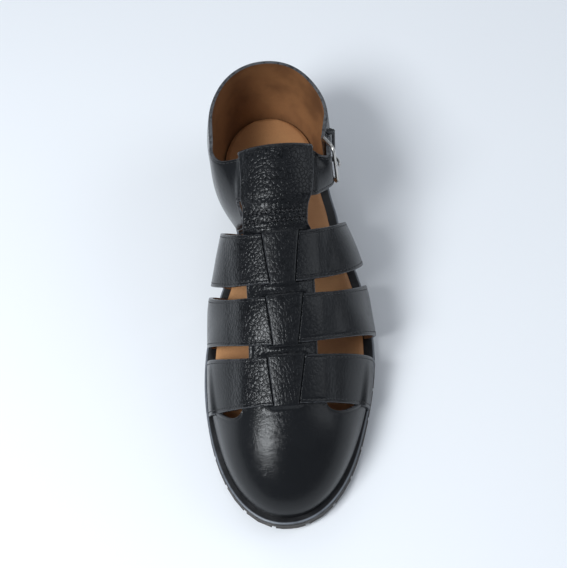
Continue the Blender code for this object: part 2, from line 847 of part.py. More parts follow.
def band_width(length, count, i):
    """Width of the strap's end at a row back from the tab's end, drawn in to a blunt point."""
    taper = clamp((i - count + 3) / 2)
    return length - 2 * TIP_POINT * taper


def strap_tip(rows, normals):
    """The strap's end on the quarter, from its point to the tab's end."""
    length = (rows[-1][-1] - rows[-1][0]).length
    result = []
    for i in range(TIP_ROWS):
        k = len(rows) - 1 - i
        width = band_width(length, TIP_ROWS, i)
        margin = STRAP_MARGIN * clamp(i / 4) + (length - width) / 2
        row = [on_band(rows, normals, k, margin + width * (1 - j / STRAP_ROWS), LEATHER + LOOP_GAP)
               for j in range(STRAP_ROWS + 1)]
        result.append(row)
    return result[::-1]


def loop_strap_rows():
    """The strap inside the loop, from the lateral edge to the medial one."""
    columns = [(MEDIAL, LOOP_MEDIAL + STRIP_DRAPE)] + loop_distances()
    columns.append((LATERAL, LOOP_LATERAL + STRIP_DRAPE))
    rows = []
    for side, distance in reversed(columns):
        alongs = [mix(STRAP_FRONT, LOOP_FOLD, j / STRAP_ROWS) for j in range(STRAP_ROWS + 1)]
        rows.append([loop_points(along, LEATHER + LOOP_GAP, side, distance) for along in alongs])
    return rows


def add_quarter(finish, parent):
    """Heel quarter and ankle strap, one band that ends in a tab and in a strap laid over it."""
    quarter = quarter_rows()
    normals = grid_normals(quarter)
    centre, forward, up, outward, width = tab_frame(quarter, normals)
    straight = []
    for reach in (FRAME_LENGTH * 0.5, FRAME_LENGTH + FRAME_BAR):
        middle = centre + forward * reach + outward * (LEATHER + LOOP_GAP)
        straight.append(across_row(middle - up * width / 2, middle + up * width / 2))
    tip = strap_tip(quarter, normals)
    in_loop = loop_strap_rows()
    arm = curve_between([straight[0], straight[1], in_loop[0], in_loop[1]], ARM_STEPS)
    arm = arm[ARM_STEPS:2 * ARM_STEPS]
    medial = []
    for i, row in enumerate(MEDIAL_ARM):
        swell = (QUARTER_BULGE + MEDIAL_FLARE) * (i + 1) / (len(MEDIAL_ARM) + 1)
        medial.append(across_row(*edge_ends(row), swell))
    other = curve_between([in_loop[-2], in_loop[-1], *medial, quarter[0], quarter[1]], ARM_STEPS)
    other = other[ARM_STEPS:-ARM_STEPS - 1]
    rows = tip + straight[:1] + arm + in_loop[:-1] + other + quarter
    outer = []
    for row, line in zip(rows, grid_normals(rows)):
        raised = [point + normal * LEATHER for point, normal in zip(row, line)]
        if abs(row[0].z - stand(row[0]).z) < 1e-6:
            raised[0] = stand(raised[0])
        outer.append(raised)
    mask = [[True] * STRAP_ROWS for _ in rows[1:]]
    points, faces = shell(rows, outer, mask)
    return add_piece("quarter", points, faces, finish, parent, sharp=50)


def local(frame, ahead, across, out):
    centre, forward, up, outward, _ = frame
    return centre + forward * ahead + up * across + outward * out


def add_buckle(finish, parent):
    """The buckle's tilted frame at the tab's end, and its prong."""
    quarter = quarter_rows()
    frame = tab_frame(quarter, grid_normals(quarter))
    half = frame[4] / 2 + FRAME_PLAY
    over = 2 * (LEATHER + LOOP_GAP) + LOOP_GAP
    levels = ((LOOP_GAP, 0.0), (LOOP_GAP + FRAME_BAR, 0.0), (FRAME_LENGTH - FRAME_BAR, over),
              (FRAME_LENGTH, over))
    across = (-half - FRAME_BAR, -half, half, half + FRAME_BAR)
    low = [[local(frame, ahead, side, out) for side in across] for ahead, out in levels]
    high = [[local(frame, ahead, side, out + LEATHER) for side in across] for ahead, out in levels]
    mask = [[True, True, True], [True, False, True], [True, True, True]]
    points, faces = shell(low, high, mask)
    add_piece("buckle_frame", points, faces, finish, parent)
    prong_half = PRONG_WIDTH / 2
    bottom = ((PRONG_START, over), (FRAME_LENGTH - FRAME_BAR, over + LEATHER + LOOP_GAP),
              (FRAME_LENGTH + LOOP_GAP, over + LEATHER + LOOP_GAP))
    low = [[local(frame, ahead, side, out) for side in (-prong_half, prong_half)]
           for ahead, out in bottom]
    high = [[local(frame, ahead, side, out + PRONG_HEIGHT) for side in (-prong_half, prong_half)]
            for ahead, out in bottom]
    points, faces = shell(low, high, [[True], [True]])
    add_piece("buckle_prong", points, faces, finish, parent)


def add_keeper(finish, parent):
    """A leather keeper across the strap's end, standing on the quarter at both its edges."""
    quarter = quarter_rows()
    normals = grid_normals(quarter)
    length = (quarter[-1][-1] - quarter[-1][0]).length
    foot = LEATHER + LOOP_GAP
    roof = 2 * foot + LOOP_GAP
    span = [i / KEEPER_STEPS for i in range(KEEPER_STEPS + 1)]
    inner_rows, outer_rows = [], []
    for i in range(KEEPER_ROWS[0], KEEPER_ROWS[1] + 1):
        k = len(quarter) - 1 - i
        low = STRAP_MARGIN * clamp(i / 4) - FRAME_PLAY
        high = STRAP_MARGIN * clamp(i / 4) + length + FRAME_PLAY
        inner = [(low, foot)] + [(mix(low, high, v), roof) for v in span] + [(high, foot)]
        low -= KEEPER_LEATHER
        high += KEEPER_LEATHER
        roof_out = roof + KEEPER_LEATHER
        outer = [(low, foot)] + [(mix(low, high, v), roof_out) for v in span] + [(high, foot)]
        inner_rows.append([on_band(quarter, normals, k, *pair) for pair in inner])
        outer_rows.append([on_band(quarter, normals, k, *pair) for pair in outer])
    mask = [[True] * (len(span) + 1) for _ in inner_rows[1:]]
    points, faces = shell(inner_rows, outer_rows, mask)
    return add_piece("keeper", points, faces, finish, parent)


def heel_inset(along):
    """Inset of the heel's edge, rounded at its two front corners."""
    into = clamp(along - HEEL_BREAST, 0.0, HEEL_CORNER)
    return HEEL_CORNER - math.sqrt(HEEL_CORNER ** 2 - (HEEL_CORNER - into) ** 2)


def add_heel(finish, parent):
    """The heel block, flat on the floor and tapered a little to it."""
    corner = [HEEL_BREAST + HEEL_CORNER * share for share in (0.0, 0.08, 0.3, 0.6)]
    spaced = end_spaced(HEEL_BREAST - HEEL_DOME, SOLE_LENGTH - HEEL_TAPER, HEEL_STATIONS)
    rest = [along for along in spaced if along > HEEL_BREAST + HEEL_CORNER * 0.9]
    plate("heel", corner + rest, heel_inset, lambda along: 0.0,
          lambda along: outsole_low(SOLE_LENGTH) - SEAT_GAP, finish, parent,
          low_inset=lambda along: heel_inset(along) + HEEL_TAPER)


def clear_scene():
    for thing in list(bpy.data.objects):
        bpy.data.objects.remove(thing, do_unlink=True)


def centre_on_floor(parent):
    """Puts the middle of the whole shoe's box over the origin, standing on the floor."""
    corners = [vertex.co for piece in parent.children for vertex in piece.data.vertices]
    low = [min(corner[axis] for corner in corners) for axis in range(3)]
    high = [max(corner[axis] for corner in corners) for axis in range(3)]
    parent.location = (-(low[0] + high[0]) / 2, -(low[1] + high[1]) / 2, -low[2])


def build():
    clear_scene()
    black = material("black_leather", (0.010, 0.011, 0.013), 0.35)
    tan = material("tan_leather", (0.42, 0.20, 0.08), 0.6)
    edge = material("welt_leather", (0.012, 0.011, 0.010), 0.5)
    rubber = material("sole_rubber", (0.022, 0.019, 0.017), 0.75)
    metal = material("brushed_metal", (0.45, 0.44, 0.42), 0.35, 1.0)
    shoe = bpy.data.objects.new("shoe", None)
    bpy.context.scene.collection.objects.link(shoe)

    add_outsole(rubber, shoe)
    whole = end_spaced(0.0, SOLE_LENGTH, WELT_STATIONS)
    plate("welt", whole, lambda along: 0.0, welt_low, welt_high, edge, shoe)
    inside = end_spaced(INSOLE_INSET, SOLE_LENGTH - INSOLE_INSET, WELT_STATIONS)
    plate("insole", inside, lambda along: INSOLE_INSET, seat, insole_high, tan, shoe)
    add_heel(rubber, shoe)
    add_upper(black, shoe)
    add_quarter(black, shoe)
    add_buckle(metal, shoe)
    add_keeper(black, shoe)
    centre_on_floor(shoe)


build()
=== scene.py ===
"""Looks of the gurkha sandal: leather, linings, seams, sole, floor, light and camera.

Lengths are in metres and the axes are the part's: the toe points to -Y, the outer side of the left foot
is +X and the floor is z = 0. "Along" is the distance from the sole's toe tip towards the heel. A side is
-1 for the medial edge and +1 for the lateral one. A "turn" goes from 0, where the wall stands on the
welt, to 1 on the ridge of the instep. Most functions work on whole arrays at once.
"""

import math
from collections import namedtuple

import bmesh
import bpy
import numpy as np
from mathutils import Matrix, Vector


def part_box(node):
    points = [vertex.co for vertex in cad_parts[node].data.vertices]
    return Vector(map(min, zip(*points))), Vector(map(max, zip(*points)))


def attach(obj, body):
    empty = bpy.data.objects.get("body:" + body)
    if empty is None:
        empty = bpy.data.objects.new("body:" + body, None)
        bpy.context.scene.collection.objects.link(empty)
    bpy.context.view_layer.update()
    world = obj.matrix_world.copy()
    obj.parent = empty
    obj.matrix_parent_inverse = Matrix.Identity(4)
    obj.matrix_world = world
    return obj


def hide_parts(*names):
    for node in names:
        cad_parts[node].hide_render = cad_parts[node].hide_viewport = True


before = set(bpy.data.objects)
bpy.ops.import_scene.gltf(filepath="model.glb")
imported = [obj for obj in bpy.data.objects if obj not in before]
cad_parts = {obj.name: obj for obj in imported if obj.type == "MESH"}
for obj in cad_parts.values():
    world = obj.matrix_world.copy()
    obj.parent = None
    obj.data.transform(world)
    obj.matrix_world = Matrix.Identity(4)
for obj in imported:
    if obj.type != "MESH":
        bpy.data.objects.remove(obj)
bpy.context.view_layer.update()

MEDIAL = -1
LATERAL = 1

# Sole
SOLE_LENGTH = 0.288
BALL_WIDTH = 0.108
TOE_DOME = 0.105
HEEL_DOME = 0.050
DOME_POWER = 2.1
BALL_FRONT = 0.070
BALL_BACK = 0.115
HEEL_BREAST = 0.209
TOE_SPRING = 0.0045
HEEL_RISE = 0.016
OUTSOLE_THICKNESS = 0.0030
WELT_THICKNESS = 0.0022
INSOLE_THICKNESS = 0.0045
INSOLE_INSET = 0.0069
SEAT_GAP = 0.0003
SIDE_GAP = 0.0009
LUG_DEPTH = 0.0018
WALL_INSET = INSOLE_INSET - SIDE_GAP

# Last and leather
INSTEP_RISE = 0.0715
TOE_BOX_LENGTH = 0.045
LEATHER = 0.0022
STRIP_MEDIAL = 0.0184
STRIP_LATERAL = 0.0190
LOOP_MEDIAL = 0.0170
LOOP_LATERAL = 0.0162
STRIP_START = 0.045
SLIT_MEDIAL_FRONT = 0.0045
SLIT_MEDIAL_BACK = 0.0074
SLIT_LATERAL_FRONT = 0.0078
SLIT_LATERAL_BACK = 0.0112
DRAPE = 0.003
SOFT_DRAPE = 0.011
LENS_DEPTH = 0.0040
LENS_START = 0.34
LAP = 0.0045

# Loop folded from the end of the centre strip
STITCH_FRONT = 0.1505
STITCH_BACK = 0.1600
LOOP_FOLD = 0.1900
LOOP_LEAN = 0.45
LOOP_GAP = 0.0005

# Ankle strap, quarter and buckle
STRAP_FRONT = 0.1650
QUARTER_RISE = 0.0590
HEEL_HALF = 0.0390
TOP_INSET = 0.0078
MEDIAL_FRONT = 0.1970
LATERAL_FRONT = 0.2260
MEDIAL_SETBACK = 0.0240
LATERAL_SETBACK = 0.0100
TOP_CENTRE = -0.0010
QUARTER_BULGE = 0.0035
MEDIAL_FLARE = 0.0045
STRAP_MARGIN = 0.0040
TIP_ROWS = 9
TIP_POINT = 0.0045
FRAME_LENGTH = 0.0170
FRAME_BAR = 0.0026
FRAME_PLAY = 0.0008
PRONG_WIDTH = 0.0024
PRONG_START = 0.0034
KEEPER_ROWS = (4, 6)
KEEPER_LEATHER = 0.0018

# Edges and seams of the leather
EDGE_ROUND = 0.0007
SEAM_INSET = 0.0018
SEAM_DEPTH = 0.00022
SEAM_HALF = 0.0004
STITCH_LENGTH = 0.0022
STITCH_PITCH = 0.0029
STITCH_RADIUS = 0.00026

# Angles in degrees over which an edge of a mesh stays sharp
LEATHER_SHARP = 58
WELT_SHARP = 50
METAL_SHARP = 60
STITCH_SHARP = 70

# Camera, from the fit of the photographed pair, and the size of its picture
CAMERA_PLACE = (0.0040, -0.3132, 0.5600)
CAMERA_ACROSS = (0.9919, -0.0341, -0.1220)
CAMERA_AIM = (0.0005, 0.0020, 0.0300)
CAMERA_LENS = 63.0
SENSOR_WIDTH = 36.0

OutlineRow = namedtuple("OutlineRow", "along centre half")
LastRow = namedtuple("LastRow", "along rise across power medial lateral")
StrapRow = namedtuple("StrapRow", "front back front_medial front_lateral back_medial back_lateral gape")
EdgeRow = namedtuple("EdgeRow", "low_x low_along low_z high_x high_along high_z")
Crease = namedtuple("Crease", "along across half depth width bow")

# Plan of the sole: along as a share of its length, the rest as shares of the ball width.
OUTLINE = (
    OutlineRow(0.000, -0.084, 0.483),
    OutlineRow(0.174, -0.060, 0.475),
    OutlineRow(0.365, -0.012, 0.488),
    OutlineRow(0.451, 0.007, 0.471),
    OutlineRow(0.538, 0.031, 0.406),
    OutlineRow(0.625, 0.051, 0.325),
    OutlineRow(0.677, 0.046, 0.308),
    OutlineRow(0.729, 0.021, 0.313),
    OutlineRow(0.780, -0.010, 0.331),
    OutlineRow(0.833, -0.025, 0.345),
    OutlineRow(1.000, -0.028, 0.345),
)

# The last, in the same terms as in the part's source.
LAST = (
    LastRow(0.000, 0.400, 0.500, 0.80, 0.000, 0.008),
    LastRow(0.080, 0.465, 0.500, 0.82, 0.000, 0.014),
    LastRow(0.140, 0.540, 0.500, 0.92, 0.000, 0.022),
    LastRow(0.190, 0.610, 0.495, 1.10, 0.002, 0.030),
    LastRow(0.280, 0.745, 0.490, 1.25, 0.010, 0.040),
    LastRow(0.385, 0.925, 0.480, 1.25, 0.030, 0.048),
    LastRow(0.490, 1.030, 0.455, 1.10, 0.062, 0.055),
    LastRow(0.545, 1.070, 0.440, 1.00, 0.078, 0.052),
    LastRow(0.625, 1.130, 0.440, 1.00, 0.105, 0.050),
    LastRow(0.700, 1.180, 0.450, 1.00, 0.090, 0.045),
)

STRAPS = (
    StrapRow(0.191, 0.279, 0.38, 0.28, 0.52, 0.35, 0.0000),
    StrapRow(0.301, 0.386, 0.54, 0.49, 0.57, 0.55, 0.0034),
    StrapRow(0.412, 0.506, 0.53, 0.62, 0.60, 0.60, 0.0022),
)

MEDIAL_ARM = (
    EdgeRow(-0.480, 0.556, 0.890, -0.740, 0.690, 1.120),
    EdgeRow(-0.585, 0.592, 0.560, -0.880, 0.712, 1.060),
    EdgeRow(-0.620, 0.640, 0.250, -0.930, 0.740, 1.000),
)
LATERAL_TAB = (
    EdgeRow(0.810, 0.762, 0.210, 0.820, 0.780, 0.985),
    EdgeRow(0.815, 0.738, 0.470, 0.795, 0.757, 1.030),
)
TAB_END = EdgeRow(0.800, 0.709, 0.757, 0.765, 0.733, 1.086)
TOP_LINE = ((0.0, 0.970), (0.5, 0.930), (1.0, 1.000))


def smooth(rows, position):
    """Value at a position in a list of (position, value), smooth and without overshoot."""
    xs, ys = np.array(rows, float).T
    slopes = np.diff(ys) / np.diff(xs)
    product = slopes[:-1] * slopes[1:]
    total = slopes[:-1] + slopes[1:]
    inner = np.where(product > 0, 2 * product / np.where(total == 0, 1, total), 0)
    tangents = np.concatenate([slopes[:1], inner, slopes[-1:]])
    position = np.clip(position, xs[0], xs[-1])
    index = np.clip(np.searchsorted(xs, position, side="right") - 1, 0, len(slopes) - 1)
    width = xs[index + 1] - xs[index]
    t = (position - xs[index]) / width
    value = ys[index] * (1 + 2 * t) * (1 - t) ** 2 + ys[index + 1] * t * t * (3 - 2 * t)
    return value + width * t * (1 - t) * (tangents[index] * (1 - t) - tangents[index + 1] * t)


def column(table, name):
    return [(row.along, getattr(row, name)) for row in table]


OUTLINE_CENTRE = column(OUTLINE, "centre")
OUTLINE_HALF = column(OUTLINE, "half")
LAST_COLUMNS = {name: column(LAST, name) for name in LastRow._fields[1:]}


def clamp(value):
    return np.clip(value, 0.0, 1.0)


def ease(share):
    """Goes smoothly from 0 to 1."""
    share = clamp(share)
    return share * share * (3 - 2 * share)


def dome(share):
    return (1 - (1 - clamp(share)) ** DOME_POWER) ** (1 / DOME_POWER)


def mix(a, b, share):
    return a + (b - a) * share


def outline_x(along, side, inset=0.0):
    """The edge of the sole's plan, moved in by an inset."""
    share = along / SOLE_LENGTH
    centre = BALL_WIDTH * smooth(OUTLINE_CENTRE, share)
    half = BALL_WIDTH * smooth(OUTLINE_HALF, share) - inset
    toe = dome((along - inset) / (TOE_DOME - inset))
    heel = dome((SOLE_LENGTH - inset - along) / (HEEL_DOME - inset))
    return centre + side * half * toe * heel


def sole_lift(along):
    toe = TOE_SPRING * clamp(1 - along / BALL_FRONT) ** 2
    return toe + HEEL_RISE * ease((along - BALL_BACK) / (HEEL_BREAST - BALL_BACK))


def outsole_low(along):
    return LUG_DEPTH + sole_lift(along)


def outsole_high(along):
    return outsole_low(along) + OUTSOLE_THICKNESS


def welt_low(along):
    return outsole_high(along) + SEAT_GAP


def welt_high(along):
    return welt_low(along) + WELT_THICKNESS


def seat(along):
    """Where the insole and the wall of the upper stand on the welt."""
    return welt_high(along) + SEAT_GAP


def insole_high(along):
    return seat(along) + INSOLE_THICKNESS


def end_spaced(start, end, count):
    """Distances from start to end, close together near both ends."""
    return mix(start, end, (1 - np.cos(np.linspace(0, math.pi, count + 1))) / 2)


def part_shift():
    """Where the part's middle was put, found from the box of its welt."""
    low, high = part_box("welt")
    widest = outline_x(end_spaced(0.0, SOLE_LENGTH, 44), LATERAL).max()
    return np.array([high[0] - widest, (low[1] + high[1]) / 2, 0.0])


SHIFT = part_shift()


def place(x, along, z):
    """Puts points given by their distance from the toe tip into the frame's axes."""
    x, along, z = np.broadcast_arrays(x, along, z)
    return np.stack([x, along - SOLE_LENGTH / 2, z], axis=-1) + SHIFT


def unit(vectors):
    length = np.linalg.norm(vectors, axis=-1, keepdims=True)
    return vectors / np.maximum(length, 1e-12)


def last_value(name, along):
    return smooth(LAST_COLUMNS[name], along / SOLE_LENGTH)


def ridge_height(along):
    """Height of the last's ridge over the floor."""
    rise = INSTEP_RISE * last_value("rise", along)
    return seat(along) + rise * dome((along - WALL_INSET) / TOE_BOX_LENGTH)


def last_point(along, side, turn):
    """Points on the last, which is the inside of the upper's wall."""
    foot = outline_x(along, side, WALL_INSET)
    other = outline_x(along, -side, WALL_INSET)
    ridge = mix(np.minimum(foot, other), np.maximum(foot, other), last_value("across", along))
    angle = turn * math.pi / 2
    swell = np.where(side < 0, last_value("medial", along), last_value("lateral", along))
    swell = swell * BALL_WIDTH * np.sin(math.pi * turn ** 0.6)
    swell = swell * dome((along - WALL_INSET) / TOE_BOX_LENGTH)
    x = ridge + (foot - ridge) * np.cos(angle) + side * swell
    rise = np.sin(angle) ** last_value("power", along)
    return place(x, along, mix(seat(along), ridge_height(along), rise))


def leaning_along(along, lean, turn):
    rise = np.sin(turn * math.pi / 2) ** last_value("power", along)
    return along + lean * (1 - rise) * (ridge_height(along) - seat(along))


def wall_point(along, lean, side, turn):
    return last_point(leaning_along(along, lean, turn), side, turn)


def wall_normal(along, lean, side, turn):
    """Outward directions of the wall, level where it stands on the welt."""
    step = 0.0005
    small = 0.004
    forward = wall_point(along + step, lean, side, turn) - wall_point(along - step, lean, side, turn)
    up = wall_point(along, lean, side, clamp(turn + small))
    up = up - wall_point(along, lean, side, clamp(turn - small))
    normal = np.cross(forward, up) * np.asarray(side)[..., None]
    shape = normal.shape[:-1]
    turn = np.broadcast_to(turn, shape)
    normal[..., 2] = np.where(turn == 0, 0, normal[..., 2])
    normal[..., 0] = np.where(turn == 1, 0, normal[..., 0])
    return unit(normal)


def turn_at(along, lean, side, distance):
    """The turns whose points lie a distance from the ridge, measured across the foot."""
    along, lean, side, distance = np.broadcast_arrays(along, lean, side, distance)
    ridge = wall_point(along, lean, side, np.ones(along.shape))[..., 0]
    low = np.full(along.shape, 0.2)
    high = np.ones(along.shape)
    for _ in range(22):
        middle = (low + high) / 2
        far = np.abs(wall_point(along, lean, side, middle)[..., 0] - ridge) > distance
        low = np.where(far, middle, low)
        high = np.where(far, high, middle)
    return np.where(distance <= 1e-7, 1.0, (low + high) / 2)


def over_last(along, lean, side, turn, offset):
    """Points a distance outside the last."""
    normal = wall_normal(along, lean, side, turn)
    return wall_point(along, lean, side, turn) + normal * np.asarray(offset)[..., None]


def rounding(distance):
    """How far the outer face sinks towards a cut edge that is a distance away."""
    near = np.clip(EDGE_ROUND - distance, 0, EDGE_ROUND)
    return EDGE_ROUND - np.sqrt(EDGE_ROUND ** 2 - near ** 2)


def seam(distance):
    """Depth of the groove that the stitches sit in, a set distance from an edge."""
    return SEAM_DEPTH * np.exp(-(((distance - SEAM_INSET) / SEAM_HALF) ** 2))


EDGE_STEPS = np.array([0.0, 0.06, 0.22, 0.5, 1.0]) * EDGE_ROUND
SEAM_STEPS = SEAM_INSET + np.array([-1.5, -0.6, 0.0, 0.6, 1.5]) * SEAM_HALF


def edged(width, count):
    """Distances across a band, close together at its edges and along its seams."""
    near = np.concatenate([EDGE_STEPS, SEAM_STEPS])
    middle = np.linspace(near[-1], width - near[-1], count + 2)[1:-1]
    return np.concatenate([near, middle, (width - near)[::-1]])


def add_object(name, mesh, finishes, nodes=()):
    piece = bpy.data.objects.new(name, mesh)
    bpy.context.scene.collection.objects.link(piece)
    for finish in finishes:
        mesh.materials.append(finish)
    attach(piece, "root")
    if nodes:
        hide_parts(*nodes)
    return piece


def finish_mesh(name, points, faces, kinds, values, sharp):
    """A mesh with its doubles merged and its faces outward; values are kept on its points."""
    mesh = bpy.data.meshes.new(name)
    mesh.from_pydata(points.tolist(), [], faces)
    mesh.polygons.foreach_set("material_index", kinds)
    for label, numbers in values.items():
        layer = mesh.attributes.new(label, "FLOAT", "POINT")
        layer.data.foreach_set("value", np.asarray(numbers, np.float32))
    shape = bmesh.new()
    shape.from_mesh(mesh)
    bmesh.ops.remove_doubles(shape, verts=shape.verts, dist=2e-6)
    bmesh.ops.dissolve_degenerate(shape, edges=shape.edges, dist=1e-6)
    loose = [vertex for vertex in shape.verts if not vertex.link_faces]
    bmesh.ops.delete(shape, geom=loose, context="VERTS")
    bmesh.ops.recalc_face_normals(shape, faces=shape.faces)
    if shape.calc_volume(signed=True) < 0:
        bmesh.ops.reverse_faces(shape, faces=shape.faces)
    shape.to_mesh(mesh)
    shape.free()
    mesh.shade_smooth()
    mesh.set_sharp_from_angle(angle=math.radians(sharp))
    return mesh


def sheet(name, low, high, finishes, nodes=(), mask=None, values=None):
    """A piece of leather between two grids of points, closed round every edge of its mask."""
    rows, columns = low.shape[:2]
    if mask is None:
        mask = np.ones((rows - 1, columns - 1), bool)
    total = rows * columns
    grid = np.arange(total).reshape(rows, columns)
    padded = np.pad(mask, 1)
    i, j = np.nonzero(mask)
    a, b, c, d = grid[i, j], grid[i, j + 1], grid[i + 1, j + 1], grid[i + 1, j]
    outer = np.stack([a, b, c, d], axis=1)
    inner = np.stack([d, c, b, a], axis=1) + total
    walls = []
    for di, dj, first, second in ((-1, 0, a, b), (1, 0, c, d), (0, 1, b, c), (0, -1, d, a)):
        open_edge = ~padded[i + 1 + di, j + 1 + dj]
        start, end = first[open_edge], second[open_edge]
        walls.append(np.stack([end, start, start + total, end + total], axis=1))
    walls = np.concatenate(walls)
    faces = np.concatenate([outer, inner, walls]).tolist()
    lining = min(1, len(finishes) - 1)
    kinds = [0] * len(outer) + [lining] * len(inner) + [0] * len(walls)
    points = np.concatenate([high.reshape(-1, 3), low.reshape(-1, 3)])
    doubled = {}
    for label, numbers in (values or {}).items():
        flat = np.broadcast_to(numbers, (rows, columns)).ravel()
        doubled[label] = np.concatenate([flat, flat])
    mesh = finish_mesh(name, points, faces, kinds, doubled, LEATHER_SHARP)
    return add_object(name, mesh, finishes, nodes)


def travelled(points):
    """Distance from the first point to each point of a line."""
    steps = np.linalg.norm(np.diff(points, axis=0), axis=1)
    return np.concatenate([[0], np.cumsum(steps)])


def points_at(marks, travel, points):
    """Points, or directions, at distances down a line."""
    return np.stack([np.interp(marks, travel, points[:, k]) for k in range(3)], axis=-1)


def even_path(points, normals, pitch, skip=0.5):
    """Centres, tangents and normals at even steps down a line of points."""
    travel = travelled(points)
    count = max(int(travel[-1] / pitch), 1)
    marks = (np.arange(count) + skip) * travel[-1] / count
    ahead = points_at(marks + 1e-4, travel, points)
    behind = points_at(marks - 1e-4, travel, points)
    return points_at(marks, travel, points), unit(ahead - behind), unit(points_at(marks, travel, normals))


def ring_faces(rings, sides, closed):
    """Faces of a tube whose rings are counted one after another, with caps unless it is closed."""
    faces = []
    for ring in range(rings if closed else rings - 1):
        near, far = ring * sides, (ring + 1) % rings * sides
        for k in range(sides):
            step = (k + 1) % sides
            faces.append((near + k, near + step, far + step, far + k))
    if not closed:
        faces.append(tuple(range(sides))[::-1])
        faces.append(tuple((rings - 1) * sides + k for k in range(sides)))
    return faces


STITCH_SIDES = 6
STITCH_PROFILE = ((-0.5, 0.35, -0.9), (-0.38, 0.9, -0.1), (-0.15, 1.0, 0.25), (0.15, 1.0, 0.25),
                  (0.38, 0.9, -0.1), (0.5, 0.35, -0.9))


def stitch_mesh(name, runs, length, radius):
    """One mesh of short threads; a run is (centres, tangents, normals)."""
    centres, tangents, normals = (np.concatenate(parts) for parts in zip(*runs))
    sides = np.cross(normals, tangents)
    rings = []
    for reach, girth, lift in STITCH_PROFILE:
        for k in range(STITCH_SIDES):
            angle = 2 * math.pi * k / STITCH_SIDES
            rise = (math.sin(angle) * girth + lift) * radius
            rings.append(centres + tangents * reach * length + sides * math.cos(angle) * girth * radius
                         + normals * rise)
    points = np.stack(rings, axis=1)
    pattern = ring_faces(len(STITCH_PROFILE), STITCH_SIDES, False)
    faces = []
    for start in range(0, len(centres) * len(rings), len(rings)):
        faces += [tuple(start + v for v in face) for face in pattern]
    mesh = bpy.data.meshes.new(name)
    mesh.from_pydata(points.reshape(-1, 3).tolist(), [], faces)
    mesh.shade_smooth()
    mesh.set_sharp_from_angle(angle=math.radians(STITCH_SHARP))
    return mesh


def add_stitches(name, node, runs, length=STITCH_LENGTH, radius=STITCH_RADIUS, finish=None):
    mesh = stitch_mesh(name, runs, length, radius)
    add_object(name, mesh, (finish or THREAD,), (node,))


class Finish:
    """A material being made, with short names for the nodes that the finishes use."""

    def __init__(self, name, **constants):
        self.material = bpy.data.materials.new(name)
        self.material.use_nodes = True
        self.tree = self.material.node_tree
        self.shader = self.tree.nodes["Principled BSDF"]
        for key, value in constants.items():
            self.shader.inputs[key.replace("_", " ")].default_value = value
        self.where = self.node("TexCoord").outputs["Object"]

    def node(self, kind, inputs=None, **settings):
        made = self.tree.nodes.new("ShaderNode" + kind)
        for key, value in settings.items():
            setattr(made, key, value)
        for key, value in (inputs or {}).items():
            if isinstance(value, bpy.types.NodeSocket):
                self.tree.links.new(value, made.inputs[key])
            else:
                made.inputs[key].default_value = value
        return made

    def drive(self, name, value):
        self.tree.links.new(value, self.shader.inputs[name])

    def noise(self, where, scale, detail=4.0, roughness=0.55):
        return self.node("TexNoise", {"Vector": where, "Scale": scale, "Detail": detail,
                                      "Roughness": roughness}).outputs["Fac"]

    def scaled(self, where, scale):
        return self.node("Mapping", {"Vector": where, "Scale": scale}).outputs["Vector"]

    def ramp(self, value, low, high, to_low=0.0, to_high=1.0):
        return self.node("MapRange", {"Value": value, "From Min": low, "From Max": high, "To Min": to_low,
                                      "To Max": to_high}, interpolation_type="SMOOTHSTEP").outputs["Result"]

    def maths(self, operation, a, b):
        return self.node("Math", {0: a, 1: b}, operation=operation).outputs["Value"]

    def plus(self, a, b):
        return self.maths("ADD", a, b)

    def minus(self, a, b):
        return self.maths("SUBTRACT", a, b)

    def times(self, a, b):
        return self.maths("MULTIPLY", a, b)

    def blend(self, share, a, b):
        return self.node("Mix", {0: share, 2: a, 3: b}).outputs[0]

    def colours(self, share, a, b):
        return self.node("Mix", {0: share, 6: a, 7: b}, data_type="RGBA").outputs[2]

    def attribute(self, name):
        return self.node("Attribute", attribute_name=name).outputs["Fac"]

    def cell_edges(self, where, scale):
        """Distance from the edges of a pattern of cells."""
        return self.node("TexVoronoi", {"Vector": where, "Scale": scale},
                         feature="DISTANCE_TO_EDGE").outputs["Distance"]

    def cell_domes(self, where, scale):
        """Round tops of the same cells."""
        middle = self.node("TexVoronoi", {"Vector": where, "Scale": scale, "Smoothness": 0.25},
                           feature="SMOOTH_F1").outputs["Distance"]
        return self.ramp(middle, 0.08, 0.74, 0.56, 0.0)

    def bump(self, height, distance):
        made = self.node("Bump", {"Height": height, "Distance": distance})
        self.drive("Normal", made.outputs["Normal"])


PEBBLE_SIZE = 0.0024
PEBBLE_DEPTH = 0.00022
LEATHER_DARK = (0.0045, 0.0051, 0.0061, 1)
LEATHER_LIGHT = (0.0080, 0.0088, 0.0104, 1)
# Colour of the painted shade in the valleys between the pebbles.
LEATHER_VALLEY_SHADE = (0.0028, 0.0031, 0.0037, 1)
# Painted highlight on the cut edges of the leather, with rubbed wear.
LEATHER_RUB_AND_HIGHLIGHT = (0.070, 0.072, 0.078, 1)
# Painted highlight on the welt's rounded rim, with rubbed wear.
RIM_RUB_AND_HIGHLIGHT = (0.16, 0.175, 0.20, 1)


